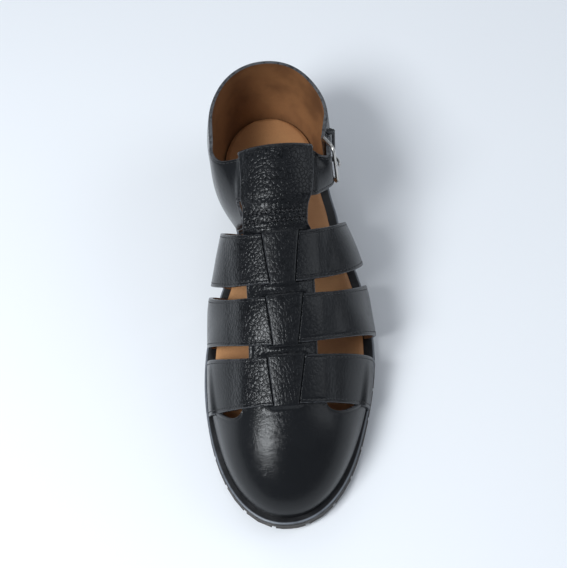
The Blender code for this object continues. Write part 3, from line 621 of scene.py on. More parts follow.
def black_leather():
    """Pebbled black leather.

    "grain" says how strong the pebbles are, "tight" where they are small and long, "fold" where the
    surface is finely folded across the foot, and the edge mark where a cut edge has a painted highlight
    with rubbed wear. The valleys between the pebbles are darkened with painted shade.
    """
    made = Finish("black_leather_finish", IOR=1.5, Coat_Roughness=0.22)
    where = made.where
    wander = made.node("TexNoise", {"Vector": where, "Scale": 260.0}).outputs["Color"]
    bent = made.node("Mix", {0: 0.0011, 4: where, 5: wander}, data_type="VECTOR").outputs[1]
    grain = made.attribute("grain")
    tight = made.attribute("tight")
    density = 1 / PEBBLE_SIZE
    longer = made.scaled(bent, (1.25, 0.70, 1.0))
    cells = made.blend(tight, made.cell_edges(bent, density), made.cell_edges(longer, density))
    domes = made.blend(tight, made.cell_domes(bent, density), made.cell_domes(longer, density))
    pebbles = made.plus(made.ramp(cells, 0.0, 0.16, 0.0, 0.44), domes)
    fine = made.ramp(made.cell_edges(bent, 2.5 * density), 0.0, 0.25, 0.0, 0.12)
    folds = made.noise(made.scaled(where, (0.3, 1.5, 0.9)), 620.0, 3.0)
    folds = made.ramp(folds, 0.30, 0.72, 0.0, 0.5)
    dust = made.times(made.noise(where, 2600.0, 3.0), 0.04)
    height = made.plus(made.times(pebbles, grain), made.plus(fine, dust))
    made.bump(made.plus(height, made.times(folds, made.attribute("fold"))), PEBBLE_DEPTH)
    cloud = made.noise(where, 45.0)
    dark = made.colours(cloud, LEATHER_DARK, LEATHER_LIGHT)
    # Painted shade: where the grain is strong, the valleys between the pebbles are darkened in colour, and
    # their specular and coat are lowered.
    valley_shade = made.times(made.ramp(cells, 0.0, 0.07, 1.0, 0.0), made.ramp(grain, 0.25, 0.9))
    dark = made.colours(valley_shade, dark, LEATHER_VALLEY_SHADE)
    # Painted highlight with rubbed wear along the cut edges, broken up by noise.
    rub_and_highlight = made.times(made.attribute("rub_and_highlight"), made.ramp(made.noise(where, 420.0), 0.25, 0.6))
    made.drive("Base Color", made.colours(rub_and_highlight, dark, LEATHER_RUB_AND_HIGHLIGHT))
    made.drive("Specular IOR Level", made.minus(0.24, made.times(valley_shade, 0.14)))
    made.drive("Coat Weight", made.minus(0.05, made.times(valley_shade, 0.05)))
    rough = made.times(made.times(grain, made.ramp(tight, 0, 1, 0.4, 1.0)), 0.12)
    made.drive("Roughness", made.plus(made.ramp(cloud, 0.3, 0.7, 0.17, 0.23), rough))
    return made.material


def lining_leather(name, light, shade, scale=1.0):
    """Unfinished tan leather with a fine grain and soft stains."""
    made = Finish(name, IOR=1.45, Roughness=0.62)
    cloud = made.noise(made.where, 38.0 * scale, 5.0)
    grain = made.noise(made.scaled(made.where, (1.0, 0.45, 1.0)), 1700.0, 3.0)
    pores = made.ramp(made.cell_edges(made.where, 1100.0), 0.0, 0.2)
    colour = made.colours(made.ramp(cloud, 0.35, 0.7), light, shade)
    made.drive("Base Color", made.colours(made.ramp(grain, 0.45, 0.75, 0.0, 0.35), colour, shade))
    made.bump(made.plus(made.times(pores, 0.5), grain), 0.00008)
    return made.material


def thread():
    made = Finish("black_thread", IOR=1.5)
    strands = made.noise(made.where, 5200.0, 2.0)
    made.drive("Base Color", made.colours(strands, (0.005, 0.005, 0.006, 1), (0.022, 0.022, 0.025, 1)))
    made.drive("Roughness", made.ramp(strands, 0.3, 0.7, 0.45, 0.65))
    made.bump(strands, 0.00006)
    return made.material


def hole_shade_finish():
    """Painted shade: a near-black, barely shiny finish standing in for the unlit depth of a stitch hole."""
    made = Finish("stitch_hole_shade", Roughness=0.9, Specular_IOR_Level=0.05)
    cloud = made.noise(made.where, 900.0)
    made.drive("Base Color", made.colours(cloud, (0.0010, 0.0010, 0.0012, 1), (0.0030, 0.0030, 0.0034, 1)))
    return made.material


def sole_finish(name, dark, light, roughness, ribs):
    """Sole leather or rubber: fine scores, scuffs and pale dust, and a rim with a painted highlight and
    rubbed wear.
    """
    made = Finish(name, IOR=1.48)
    scores = made.noise(made.scaled(made.where, ribs), 900.0, 3.0)
    scuffs = made.noise(made.where, 120.0, 6.0, 0.7)
    grit = made.noise(made.where, 3200.0, 2.0)
    colour = made.colours(made.ramp(scuffs, 0.42, 0.75), dark, light)
    colour = made.colours(made.ramp(scores, 0.5, 0.8, 0.0, 0.4), colour, light)
    # Painted highlight with rubbed wear on the welt's rim; the outsole and heel carry no such mark.
    rim = made.times(made.attribute("rub_and_highlight"), made.ramp(scuffs, 0.2, 0.6, 0.4, 1.0))
    made.drive("Base Color", made.colours(rim, colour, RIM_RUB_AND_HIGHLIGHT))
    made.drive("Roughness", made.ramp(scuffs, 0.3, 0.7, roughness - 0.08, roughness + 0.1))
    made.bump(made.plus(scores, made.times(grit, 0.4)), 0.00010)
    return made.material


def brushed_metal():
    made = Finish("brushed_metal_finish", Metallic=1.0)
    lines = made.noise(made.scaled(made.where, (1.0, 0.12, 1.0)), 4200.0, 2.0)
    cloud = made.noise(made.where, 160.0)
    made.drive("Base Color", made.colours(cloud, (0.42, 0.41, 0.39, 1), (0.62, 0.61, 0.58, 1)))
    made.drive("Roughness", made.ramp(lines, 0.3, 0.7, 0.22, 0.38))
    made.bump(lines, 0.00002)
    return made.material


BLACK = black_leather()
LINING = lining_leather("brown_lining", (0.27, 0.125, 0.050, 1), (0.15, 0.065, 0.026, 1))
TAN = lining_leather("tan_insole", (0.52, 0.265, 0.115, 1), (0.35, 0.160, 0.065, 1), 0.6)
THREAD = thread()
HOLE_SHADE = hole_shade_finish()
WELT = sole_finish("welt_finish", (0.006, 0.006, 0.007, 1), (0.018, 0.018, 0.019, 1), 0.36, (1, 1, 5))
RUBBER = sole_finish("rubber_finish", (0.030, 0.027, 0.025, 1), (0.095, 0.085, 0.078, 1), 0.62, (3, 3, 1))
METAL = brushed_metal()

# Fine folds in the top of the toe cap: where they lie, half length, depth, half width and bow.
TOE_CREASES = (
    Crease(0.0500, -0.004, 0.011, 0.00014, 0.0009, 0.6),
    Crease(0.0465, -0.007, 0.008, 0.00010, 0.0007, -0.5),
    Crease(0.0430, -0.003, 0.012, 0.00012, 0.0008, 0.4),
    Crease(0.0390, -0.006, 0.009, 0.00009, 0.0008, -0.4),
)

# Columns of the centre strip by their distance from the ridge, from the strip's edge inward.
STRIP_HALF = {MEDIAL: STRIP_MEDIAL, LATERAL: STRIP_LATERAL}
LOOP_HALF = {MEDIAL: LOOP_MEDIAL, LATERAL: LOOP_LATERAL}
SLITS = {MEDIAL: (SLIT_MEDIAL_FRONT, SLIT_MEDIAL_BACK), LATERAL: (SLIT_LATERAL_FRONT, SLIT_LATERAL_BACK)}
STRIP_EDGE = np.concatenate([EDGE_STEPS, SEAM_STEPS])
BRIDGE_SHARES = 1 - np.array([0.0, 0.04, 0.12, 0.25, 0.4, 0.55, 0.7, 0.85, 1.0])
SIDE_STEPS = 54
VAMP_STEPS = 100


STRIP_FRONT = STRAPS[0].front * SOLE_LENGTH
STRIP_BACK = STRAPS[-1].back * SOLE_LENGTH
STRAP_MARKS = [edge * SOLE_LENGTH for strap in STRAPS for edge in (strap.front, strap.back)]
STRAP_LEANS = {
    MEDIAL: [lean for strap in STRAPS for lean in (strap.front_medial, strap.back_medial)],
    LATERAL: [lean for strap in STRAPS for lean in (strap.front_lateral, strap.back_lateral)],
}
# How far the strip rises over the straps and between them, as shares of the leather's thickness.
BRIDGE_RISE = 1.12
SPAN_RISE = 0.30
CROWN_RISE = 0.10
# A distance from any cut edge that is too far to matter, and the widths of the rubbed edges with their
# painted highlight.
UNCUT = 0.01
RUB_HIGHLIGHT_EDGE = 0.00035
RUB_HIGHLIGHT_SLIT = 0.0003


def slit_at(along, side):
    """Distance of a side's slits from the ridge, wider at the back of each strap."""
    return np.interp(along, STRAP_MARKS, SLITS[side] * len(STRAPS))


def strap_zone(along, soft):
    """1 under a cross strap and 0 between straps, going over softly."""
    zone = 0.0
    for front, back in zip(STRAP_MARKS[::2], STRAP_MARKS[1::2]):
        rise = ease((along - front + soft) / soft)
        zone = np.maximum(zone, rise * ease((back + soft - along) / soft))
    return zone


def loop_share(along):
    """Goes from 0 at the last strap to 1 where the loop is sewn down."""
    return ease((along - STRIP_BACK) / (STITCH_FRONT - STRIP_BACK))


def strip_columns(slit, half):
    """Distances of the strip's columns from the ridge for each row; the slit's column comes twice."""
    half = np.broadcast_to(half, slit.shape)[:, None]
    edge = half - STRIP_EDGE
    beside = mix(edge[:, -1:], slit[:, None] + 0.0001, np.array([0.25, 0.5, 0.75, 0.9, 1.0]))
    bridge = slit[:, None] * BRIDGE_SHARES
    return np.concatenate([edge, beside, bridge], axis=1)


def mirror_columns(medial, lateral):
    """Joins the two sides' arrays of columns at the ridge, medial edge first."""
    return np.concatenate([medial, lateral[:, -2::-1]], axis=1)


def both_sides(build):
    """Calls a function for each side of the foot and joins what it returns."""
    return [mirror_columns(a, b) for a, b in zip(build(MEDIAL), build(LATERAL))]


def ground(points):
    """Height of the welt's seat under points of the frame."""
    return seat(points[..., 1] - SHIFT[1] + SOLE_LENGTH / 2)


def standing(along, lean, side, turn, offset):
    """Points outside the last, those at its foot on the welt."""
    points = over_last(along, lean, side, turn, offset)
    points[..., 2] = np.where(turn == 0, ground(points), points[..., 2])
    return points


def lens_depth(share):
    """How far the vamp's top line stays ahead of the first strap, by the share of the side."""
    inside = clamp((share - LENS_START) / (1 - LENS_START))
    return (LENS_DEPTH + LAP) * np.sin(math.pi * inside ** 1.8) ** 0.4 - LAP


def strip_rows():
    """Along, share of the vamp and a mark of the vamp for the rows from the toe to the loop."""
    share = np.linspace(0, 1, VAMP_STEPS + 1)[1:] * 0.98
    share = np.concatenate([share[:-1], np.linspace(share[-1], 1, 7)])
    vamp = mix(WALL_INSET, STRIP_FRONT, 1 - np.cos(share * math.pi / 2) ** 0.9)
    strip = np.linspace(STRIP_FRONT, STRIP_BACK, 118)[1:]
    loop = np.linspace(STRIP_BACK, STITCH_FRONT, 9)[1:]
    rows = np.concatenate([vamp, strip, loop])
    share = np.pad(share, (0, len(rows) - len(vamp)), constant_values=1)
    return rows, share, np.arange(len(rows)) < len(vamp)


def crease_depth(along, across):
    """Sum of the fine folds at points of the toe cap."""
    depth = 0.0
    for crease in TOE_CREASES:
        span = (across - crease.across) / crease.half
        middle = crease.along + crease.bow * crease.half * (span ** 2) * 0.4
        middle = middle + 0.0006 * np.sin(across * 900 + crease.along * 4000)
        fade = clamp(1 - span ** 2) ** 1.5
        depth = depth + crease.depth * fade * np.exp(-(((along - middle) / crease.width) ** 2))
    return depth


def strip_grid(rows, lean, side):
    """Turns, distances from the ridge, shares of the side and half widths of the strip's columns."""
    base = np.maximum(rows, STRIP_START)
    half = mix(STRIP_HALF[side], LOOP_HALF[side], loop_share(rows))
    drape_turn = turn_at(base, lean, side, STRIP_HALF[side] + DRAPE)[:, None]
    side_turn = drape_turn * np.linspace(0, 1, SIDE_STEPS + 1)
    distance = strip_columns(slit_at(rows, side), half)
    turn = np.concatenate([side_turn, turn_at(base[:, None], lean[:, None], side, distance)], axis=1)
    half = half[:, None]
    wide = np.broadcast_to(half + DRAPE, side_turn.shape)
    return turn, np.concatenate([wide, distance], axis=1), clamp(turn / drape_turn), half


def strip_lift(rows, slit, distance, inside, under):
    """Height of the strip's inner face over the last."""
    bridge = BRIDGE_RISE * LEATHER * strap_zone(rows, 0.0034)[:, None]
    span = SPAN_RISE * LEATHER * ease((rows - STRIP_FRONT + 0.004) / 0.006)[:, None]
    span = span * ease((STRIP_BACK - rows) / 0.003 + 1)[:, None]
    beyond = np.where(under, 0.0, ease(1 - (distance - slit) / 0.005))
    lift = np.maximum(bridge, span) * np.where(inside, 1.0, beyond)
    crown = CROWN_RISE * LEATHER * strap_zone(rows, 0.003)[:, None]
    lift = lift + crown * np.where(inside, 1 - (distance / slit) ** 2, 0)
    return mix(lift, LEATHER + LOOP_GAP, loop_share(rows)[:, None])


def strip_side(rows, share, is_vamp, side):
    """One side of the vamp and the strip: the two faces and what the leather looks like."""
    leans = STRAP_LEANS[side]
    lean = np.where(is_vamp, leans[0] * share ** 2, np.interp(rows, STRAP_MARKS, leans))
    lean = mix(lean, LOOP_LEAN, loop_share(rows))
    turn, distance, portion, half = strip_grid(rows, lean, side)
    vamp, share, lean = is_vamp[:, None], share[:, None], lean[:, None]
    slit = slit_at(rows, side)[:, None]
    inside = distance <= slit * 1.0001
    under = (strap_zone(rows, 0.0002) > 0.5)[:, None]
    low = strip_lift(rows, slit, distance, inside, under)
    top_edge = np.where(vamp & (distance > half), (rows[is_vamp][-1] - rows)[:, None], UNCUT)
    edge = np.maximum(np.minimum(np.where(vamp, UNCUT, half - distance), top_edge), 0)
    slit_edge = np.where(inside & under, np.maximum(slit - distance, 0), UNCUT)
    beside = distance > half + DRAPE / 2
    across = side * np.where(beside, 0.06, distance)
    high = low + LEATHER - rounding(edge) - seam(edge) - rounding(slit_edge) * 0.45
    high = high - crease_depth(rows[:, None], across)
    moved = rows[:, None] - np.where(beside, lens_depth(portion), 0) * share ** 10 * vamp
    # Painted highlight with rubbed wear along the cut edges; along the bridges' slits it is painted four
    # times stronger on the medial side, which faces the key light.
    slit_highlight = 1.0 if side == MEDIAL else 0.25
    rub_and_highlight = np.maximum(np.exp(-(edge / RUB_HIGHLIGHT_EDGE) ** 2), slit_highlight * np.exp(-(slit_edge / RUB_HIGHLIGHT_SLIT) ** 2))
    vamp_grain = 0.03 + 0.37 * share ** 7 * ease(1 - (distance - 0.010) / 0.014)
    grain = np.where(vamp, vamp_grain, mix(0.60, 0.90, loop_share(rows)[:, None]))
    tight = np.where((inside & under) | vamp, 1.0, 0.0)
    fold = np.exp(-((rows[:, None] - 0.041) / 0.009) ** 2 - ((across + 0.006) / 0.011) ** 2)
    return (standing(moved, lean, side, turn, low), standing(moved, lean, side, turn, high),
            rub_and_highlight, grain, tight, fold)


def add_vamp_and_strip():
    """Toe cap and centre strip in one sheet, with bridges over the straps and a folded loop."""
    rows, share, is_vamp = strip_rows()
    low, high, *values = both_sides(lambda side: strip_side(rows, share, is_vamp, side))
    tip = last_point(np.array([WALL_INSET]), MEDIAL, np.array([0.0]))[0]
    front_tip = tip + np.array([0, -LEATHER, 0])
    front_tip[2] = seat(WALL_INSET - LEATHER)
    loop_low, loop_high = loop_rows()
    extra, count = len(loop_low), low.shape[1]
    strip = slice(SIDE_STEPS + 1, count - SIDE_STEPS - 1)
    low = np.concatenate([np.tile(tip, (1, count, 1)), low, np.repeat(low[-1:], extra, axis=0)])
    high = np.concatenate([np.tile(front_tip, (1, count, 1)), high, np.repeat(high[-1:], extra, axis=0)])
    low[-extra:, strip] = loop_low
    high[-extra:, strip] = loop_high
    values = [np.concatenate([value[:1], value, np.repeat(value[-1:], extra, axis=0)]) for value in values]
    mask = np.zeros((len(low) - 1, count - 1), bool)
    mask[:is_vamp.sum()] = True
    mask[:, SIDE_STEPS + 1:count - SIDE_STEPS - 2] = True
    return sheet("vamp_and_strip", low, high, (BLACK, LINING), ("upper",), mask,
                 dict(zip(("rub_and_highlight", "grain", "tight", "fold"), values)))


def loop_grid(along, offset):
    """Points over the last near the loop on the strip's columns, for rows of (along, offset)."""
    def one_side(side):
        distance = strip_columns(np.full(len(along), SLITS[side][1]), LOOP_HALF[side])
        turn = turn_at(along[:, None], LOOP_LEAN, side, distance)
        height = np.broadcast_to(offset, turn.shape)
        return (over_last(np.broadcast_to(along[:, None], turn.shape), LOOP_LEAN, side, turn, height),)

    return both_sides(one_side)[0]


LOOP_CLIMB = 0.006


def loop_rows():
    """Rows of the loop past the stitch band: up over the ankle strap, round the fold and back."""
    under = LEATHER + LOOP_GAP
    over = 2 * under
    edge = LOOP_LATERAL - strip_columns(np.array([SLIT_LATERAL_BACK]), LOOP_LATERAL)[0]
    band = np.linspace(STITCH_FRONT, STITCH_BACK, 12)[1:]
    climb = np.linspace(STITCH_BACK, STITCH_BACK + LOOP_CLIMB, 8)[1:]
    top = np.linspace(STITCH_BACK + LOOP_CLIMB, LOOP_FOLD, 22)[1:]
    along = np.concatenate([band, climb, top])
    low = mix(under, over, ease((along - STITCH_BACK) / LOOP_CLIMB))[:, None]
    high = low + LEATHER - band_pucker(along)[:, None] - (rounding(edge) + seam(edge))
    angles = np.linspace(math.pi / 2, -math.pi / 2, 15)[1:-1]
    centre = (over + LEATHER) / 2
    inner, outer = (loop_grid(LOOP_FOLD + radius * np.cos(angles),
                              (centre + radius * np.sin(angles))[:, None])
                    for radius in (centre - LEATHER, centre))
    back = np.linspace(LOOP_FOLD, STITCH_FRONT + 2 * LOOP_GAP, 16)
    return (np.concatenate([loop_grid(along, low), inner, loop_grid(back, LEATHER)]),
            np.concatenate([loop_grid(along, high), outer, loop_grid(back, 0.0)]))


def band_pucker(along):
    """Two shallow furrows where the loop is sewn down."""
    rows = [mix(STITCH_FRONT, STITCH_BACK, row) for row in STITCH_ROWS]
    return sum(0.00022 * np.exp(-(((along - row) / 0.0014) ** 2)) for row in rows)


def strap_base(rows, side, distance, edge, portion, first):
    """Height of a cross strap's inner face over the last."""
    over = ease((STRIP_HALF[side] + SOFT_DRAPE - distance) / SOFT_DRAPE)
    slit = slit_at(rows, side)[:, None]
    dive = ease((distance - slit + 0.0001) / 0.0008)
    base = LEATHER * over * dive
    if first:
        lap = (1 - edge / edge[-1, 0]) * (distance > STRIP_HALF[side])
        base = np.maximum(base, LEATHER * lap * ease((LENS_START + 0.12 - portion) / 0.1))
    return base


def strap_fields(index, side):
    """Along, lean, turn, distances from the ridge and from the edges for one side of a strap."""
    front, back = STRAP_MARKS[2 * index:2 * index + 2]
    across = edged(back - front, 22)
    rows = front + across
    lean = mix(*STRAP_LEANS[side][2 * index:2 * index + 2], across / (back - front))
    slit = slit_at(rows, side)[:, None]
    half = STRIP_HALF[side]
    edge_turn = turn_at(rows, lean, side, half + DRAPE)
    shares = np.linspace(0, 1, 44)
    side_turn = edge_turn[:, None] * shares
    marks = np.concatenate([
        np.tile(half + DRAPE * np.array([0.8, 0.6, 0.4, 0.2, 0.0]), (len(rows), 1)),
        mix(half, slit + 0.0018, np.linspace(0, 1, 10)[1:]),
        slit + np.array([0.0013, 0.0009, 0.0006, 0.0004, 0.0002, 0.0, -0.0003]),
        slit * np.array([0.8, 0.5, 0.25, 0.0])], axis=1)
    turn = np.concatenate([side_turn, turn_at(rows[:, None], lean[:, None], side, marks)], axis=1)
    flank = wall_point(rows[:, None], lean[:, None], side, side_turn)[..., 0]
    ridge = wall_point(rows, lean, side, np.ones(len(rows)))[:, None, 0]
    distance = np.concatenate([np.maximum(np.abs(flank - ridge), half + DRAPE), marks], axis=1)
    portion = np.concatenate([np.tile(shares, (len(rows), 1)), np.ones(marks.shape)], axis=1)
    from_front = np.broadcast_to(across[:, None], turn.shape)
    return rows, lean, turn, distance, portion, from_front, np.minimum(from_front, back - front - from_front)


def add_strap(index):
    """A cross strap from the medial edge, under the bridge, to the lateral edge, and its seams."""
    seams = []

    def one_side(side):
        rows, lean, turn, distance, portion, from_front, edge = strap_fields(index, side)
        base = strap_base(rows, side, distance, from_front, portion, index == 0)
        if side == LATERAL:
            opening = 1 - from_front / from_front[-1, 0]
            base = base + STRAPS[index].gape * opening * np.sin(math.pi * portion) ** 1.5
        high = base + LEATHER - rounding(edge) - seam(edge) + strap_waves(index, side, rows, portion)
        low_points = standing(rows[:, None], lean[:, None], side, turn, base)
        high_points = standing(rows[:, None], lean[:, None], side, turn, high)
        for inset in (SEAM_INSET, from_front[-1, 0] - SEAM_INSET):
            line = np.argmin(np.abs(from_front[:, 0] - inset))
            keep = distance[line] > slit_at(rows[line], side) + 0.0012
            normals = unit(high_points[line] - low_points[line])
            seams.append(even_path(high_points[line][keep][1:], normals[keep][1:], STITCH_PITCH))
        # Painted highlight with rubbed wear along the strap's cut edges.
        rub_and_highlight = np.exp(-(edge / RUB_HIGHLIGHT_EDGE) ** 2)
        return low_points, high_points, rub_and_highlight, strap_grain(side, portion), 1 - ease((portion - 0.35) / 0.4)

    low, high, *values = both_sides(one_side)
    name = "cross_strap_" + str(index + 1)
    sheet(name, low, high, (BLACK, LINING), ("upper",), None,
          dict(zip(("rub_and_highlight", "grain", "tight"), values)))
    add_stitches(name + "_stitches", "upper", seams)


def strap_grain(side, portion):
    """Pebbles are strong beside the slits and weaker down the sides of the foot."""
    return mix(0.06, 0.75 if side == MEDIAL else 0.40, ease((portion - 0.55) / 0.45))


def strap_waves(index, side, rows, portion):
    """Slow unevenness of soft leather."""
    along = (rows[:, None] - rows[0]) / (rows[-1] - rows[0])
    return 0.00022 * np.sin(portion * 7 + (index * 1.7 + side)) * np.sin(along * math.pi)


def edge_ends(row):
    base = seat(HEEL_BREAST)
    low = place(row.low_x * HEEL_HALF, row.low_along * SOLE_LENGTH, base + row.low_z * QUARTER_RISE)
    high = place(row.high_x * HEEL_HALF, row.high_along * SOLE_LENGTH, base + row.high_z * QUARTER_RISE)
    return low, high


ACROSS_STEPS = 14


def band_shares(width):
    """Shares of a band's width for its columns, close together at both edges."""
    return edged(width, ACROSS_STEPS) / width


def across_row(low, high, swell=0.0):
    """Points from the low edge of the leather to its high edge, swollen away from the heel."""
    middle = place(BALL_WIDTH * OUTLINE[-2].centre, 0.8 * SOLE_LENGTH, 0.0)
    away = (low + high) / 2 - middle
    away[2] = 0
    away = unit(away)
    shares = band_shares(np.linalg.norm(high - low))[:, None]
    return low + (high - low) * shares + away * swell * np.sin(math.pi * shares)


def curve_between(rows, steps):
    """Adds smooth rows between the given ones, which it keeps."""
    dense = []
    for i in range(len(rows) - 1):
        p0, p1 = rows[max(i - 1, 0)], rows[i]
        p2, p3 = rows[i + 1], rows[min(i + 2, len(rows) - 1)]
        for k in range(steps):
            t = k / steps
            bend = (p2 - p0) * t + (p0 * 2 - p1 * 5 + p2 * 4 - p3) * t * t
            bend = bend + (p1 * 3 - p0 - p2 * 3 + p3) * t * t * t
            dense.append(p1 + bend / 2)
    return dense + [rows[-1]]


def heel_rows(steps):
    """The quarter round the heel, from its medial front to its lateral front."""
    back = SOLE_LENGTH - WALL_INSET
    top_back = SOLE_LENGTH - TOP_INSET
    halves = []
    for side, front, setback in ((MEDIAL, MEDIAL_FRONT, MEDIAL_SETBACK),
                                 (LATERAL, LATERAL_FRONT, LATERAL_SETBACK)):
        half = []
        for share in np.sin(np.linspace(0, 1, steps + 1) * math.pi / 2):
            along = mix(front, back, share)
            top_along = mix(front + setback, top_back, share)
            low = place(outline_x(along, side, WALL_INSET), along, seat(along))
            top = seat(HEEL_BREAST) + QUARTER_RISE * smooth(TOP_LINE, share)
            round_off = dome((SOLE_LENGTH - TOP_INSET - top_along) / (HEEL_DOME - TOP_INSET))
            top_x = TOP_CENTRE + side * (HEEL_HALF - TOP_INSET / 2) * round_off
            flare = MEDIAL_FLARE * (1 - share) ** 2 if side == MEDIAL else 0.0
            half.append(across_row(low, place(top_x, top_along, top), QUARTER_BULGE + flare))
        halves.append(half)
    return halves[0] + halves[1][-2::-1]


def grid_normals(rows):
    """Outward directions of a band whose rows run round the foot and up its width."""
    rows = np.asarray(rows)
    along = np.gradient(rows, axis=0)
    up = np.gradient(rows, axis=1)
    return unit(np.cross(up, along))


COARSE_STEPS = 14
FINE_FACTOR = 4
ARM_STEPS = 12


def quarter_rows():
    """Rows of the quarter from its medial front round the heel to the end of its tab."""
    coarse = heel_rows(COARSE_STEPS)
    fine = heel_rows(COARSE_STEPS * FINE_FACTOR)
    tabs = [coarse[-2], coarse[-1]] + [across_row(*edge_ends(row)) for row in (*LATERAL_TAB, TAB_END)]
    arm = curve_between(tabs, ARM_STEPS)[ARM_STEPS:]
    return fine[:-1] + arm


def tab_frame(rows):
    """Middle of the tab's end and its directions: on towards the loop, up and outward."""
    normals = grid_normals(rows)
    end, before = rows[-1], rows[-2]
    outward = normals[-1][len(end) // 2]
    up = unit(end[-1] - end[0])
    outward = unit(outward - up * outward.dot(up))
    forward = np.cross(outward, up)
    if forward.dot((end[0] + end[-1]) / 2 - (before[0] + before[-1]) / 2) < 0:
        forward = -forward
    return (end[0] + end[-1]) / 2, forward, up, outward, np.linalg.norm(end[-1] - end[0])


def on_band(row, normal, distance, offset):
    """Points over a row of the quarter, at distances under its top edge."""
    travel = travelled(row)
    mark = travel[-1] - distance
    beyond = np.minimum(mark, 0)[:, None] * unit(row[1] - row[0])
    beyond = beyond + np.maximum(mark - travel[-1], 0)[:, None] * unit(row[-1] - row[-2])
    facing = unit(points_at(mark, travel, normal))
    return points_at(mark, travel, row) + beyond + facing * np.asarray(offset)[..., None]


def strap_tip(rows):
    """The strap's end on the quarter, from its point to the tab's end."""
    normals = grid_normals(rows)
    length = np.linalg.norm(rows[-1][-1] - rows[-1][0])
    per_row = ARM_STEPS / 3
    result = []
    steps = int((TIP_ROWS - 1) * per_row)
    for n in range(steps + 1):
        i = n / per_row
        taper = float(ease((i - TIP_ROWS + 3.2) / 2.2))
        width = length - 2 * TIP_POINT * taper ** 1.5
        margin = STRAP_MARGIN * min(i / 4, 1) + (length - width) / 2
        k = len(rows) - 1 - n
        shares = band_shares(width)
        result.append(on_band(rows[k], normals[k], margin + width * (1 - shares),
                              np.full(len(shares), LEATHER + LOOP_GAP)))
    return result[::-1]


def loop_strap_rows():
    """The strap inside the loop, from the lateral edge to the medial one."""
    alongs = STRAP_FRONT + edged(LOOP_FOLD - STRAP_FRONT, ACROSS_STEPS)
    columns = [(LATERAL, LOOP_LATERAL * s) for s in (1.2, 1.0, 0.8, 0.55, 0.28)]
    columns += [(MEDIAL, LOOP_MEDIAL * s) for s in (0.0, 0.28, 0.55, 0.8, 1.0, 1.2)]
    rows = []
    for side, distance in columns:
        turn = turn_at(alongs, LOOP_LEAN, side, distance)
        rows.append(over_last(alongs, LOOP_LEAN, side, turn, np.full(len(alongs), LEATHER + LOOP_GAP)))
    return rows


def band_rows(quarter):
    """Rows of the whole band: the strap's end, the strap through the loop, the medial arm, the quarter."""
    coarse = heel_rows(COARSE_STEPS)
    centre, forward, up, outward, width = tab_frame(quarter)
    straight = []
    for reach in (FRAME_LENGTH * 0.5, FRAME_LENGTH + FRAME_BAR):
        middle = centre + forward * reach + outward * (LEATHER + LOOP_GAP)
        straight.append(across_row(middle - up * width / 2, middle + up * width / 2))
    tip = strap_tip(quarter)
    in_loop = loop_strap_rows()
    arm = curve_between([*straight, *in_loop[:2]], ARM_STEPS)[ARM_STEPS:2 * ARM_STEPS]
    medial = []
    for i, row in enumerate(MEDIAL_ARM):
        swell = (QUARTER_BULGE + MEDIAL_FLARE) * (i + 1) / (len(MEDIAL_ARM) + 1)
        medial.append(across_row(*edge_ends(row), swell))
    other = curve_between([*in_loop[-2:], *medial, *coarse[:2]], ARM_STEPS)[ARM_STEPS:-ARM_STEPS - 1]
    through = curve_between(in_loop, 3)[:-1]
    lead = curve_between([tip[-1], straight[0]], 4)[1:-1]
    return np.array(tip + lead + straight[:1] + arm + through + other + quarter)


def band_seams(high, normals, travel, stands):
    """Stitches along both edges, without the part of the low edge that stands on the welt."""
    seams = []
    count = np.arange(len(high))
    for mark, kept in ((SEAM_INSET, ~stands), (travel[:, -1:] - SEAM_INSET, np.ones(len(high), bool))):
        columns = np.argmin(np.abs(travel - mark), axis=1)
        for run in np.split(count, np.flatnonzero(np.diff(kept)) + 1):
            if kept[run[0]] and len(run) > 2:
                seams.append(even_path(high[run, columns[run]], normals[run, columns[run]], STITCH_PITCH))
    return seams


def add_quarter():
    """Heel quarter and ankle strap, one band that ends in a tab and in a strap laid over it."""
    rows = band_rows(quarter_rows())
    normals = grid_normals(rows)
    widths = np.linalg.norm(np.diff(rows, axis=1), axis=2)
    travel = np.concatenate([np.zeros((len(rows), 1)), np.cumsum(widths, axis=1)], axis=1)
    edge = np.minimum(travel, travel[:, -1:] - travel)
    run = travelled(rows[:, rows.shape[1] // 2])
    cut = np.minimum(edge, np.minimum(run, run[-1] - run)[:, None])
    high = rows + normals * (LEATHER - rounding(cut) - seam(edge))[..., None]
    stands = np.abs(rows[:, 0, 2] - ground(rows[:, 0])) < 1e-5
    high[stands, 0, 2] = ground(high[stands, 0])
    # Painted highlight with rubbed wear along the band's cut edges.
    sheet("quarter_and_ankle_strap", rows, high, (BLACK, LINING), ("quarter",), None,
          {"rub_and_highlight": np.exp(-(cut / RUB_HIGHLIGHT_EDGE) ** 2), "grain": 0.15})
    add_stitches("quarter_stitches", "quarter", band_seams(high, normals, travel, stands))


STITCH_ROWS = (0.22, 0.72)
LOOP_STITCH = {"length": 0.0024, "radius": 0.00036}
# Size of the capsules of painted shade that stand in for the stitch holes.
LOOP_HOLE_SHADE = {"length": 0.0011, "radius": 0.00046}
LOOP_STITCH_PITCH = 0.0026
LOOP_STITCH_SLANT = 0.8
HOLE_REACH = 0.0013
HOLE_SINK = 0.00012


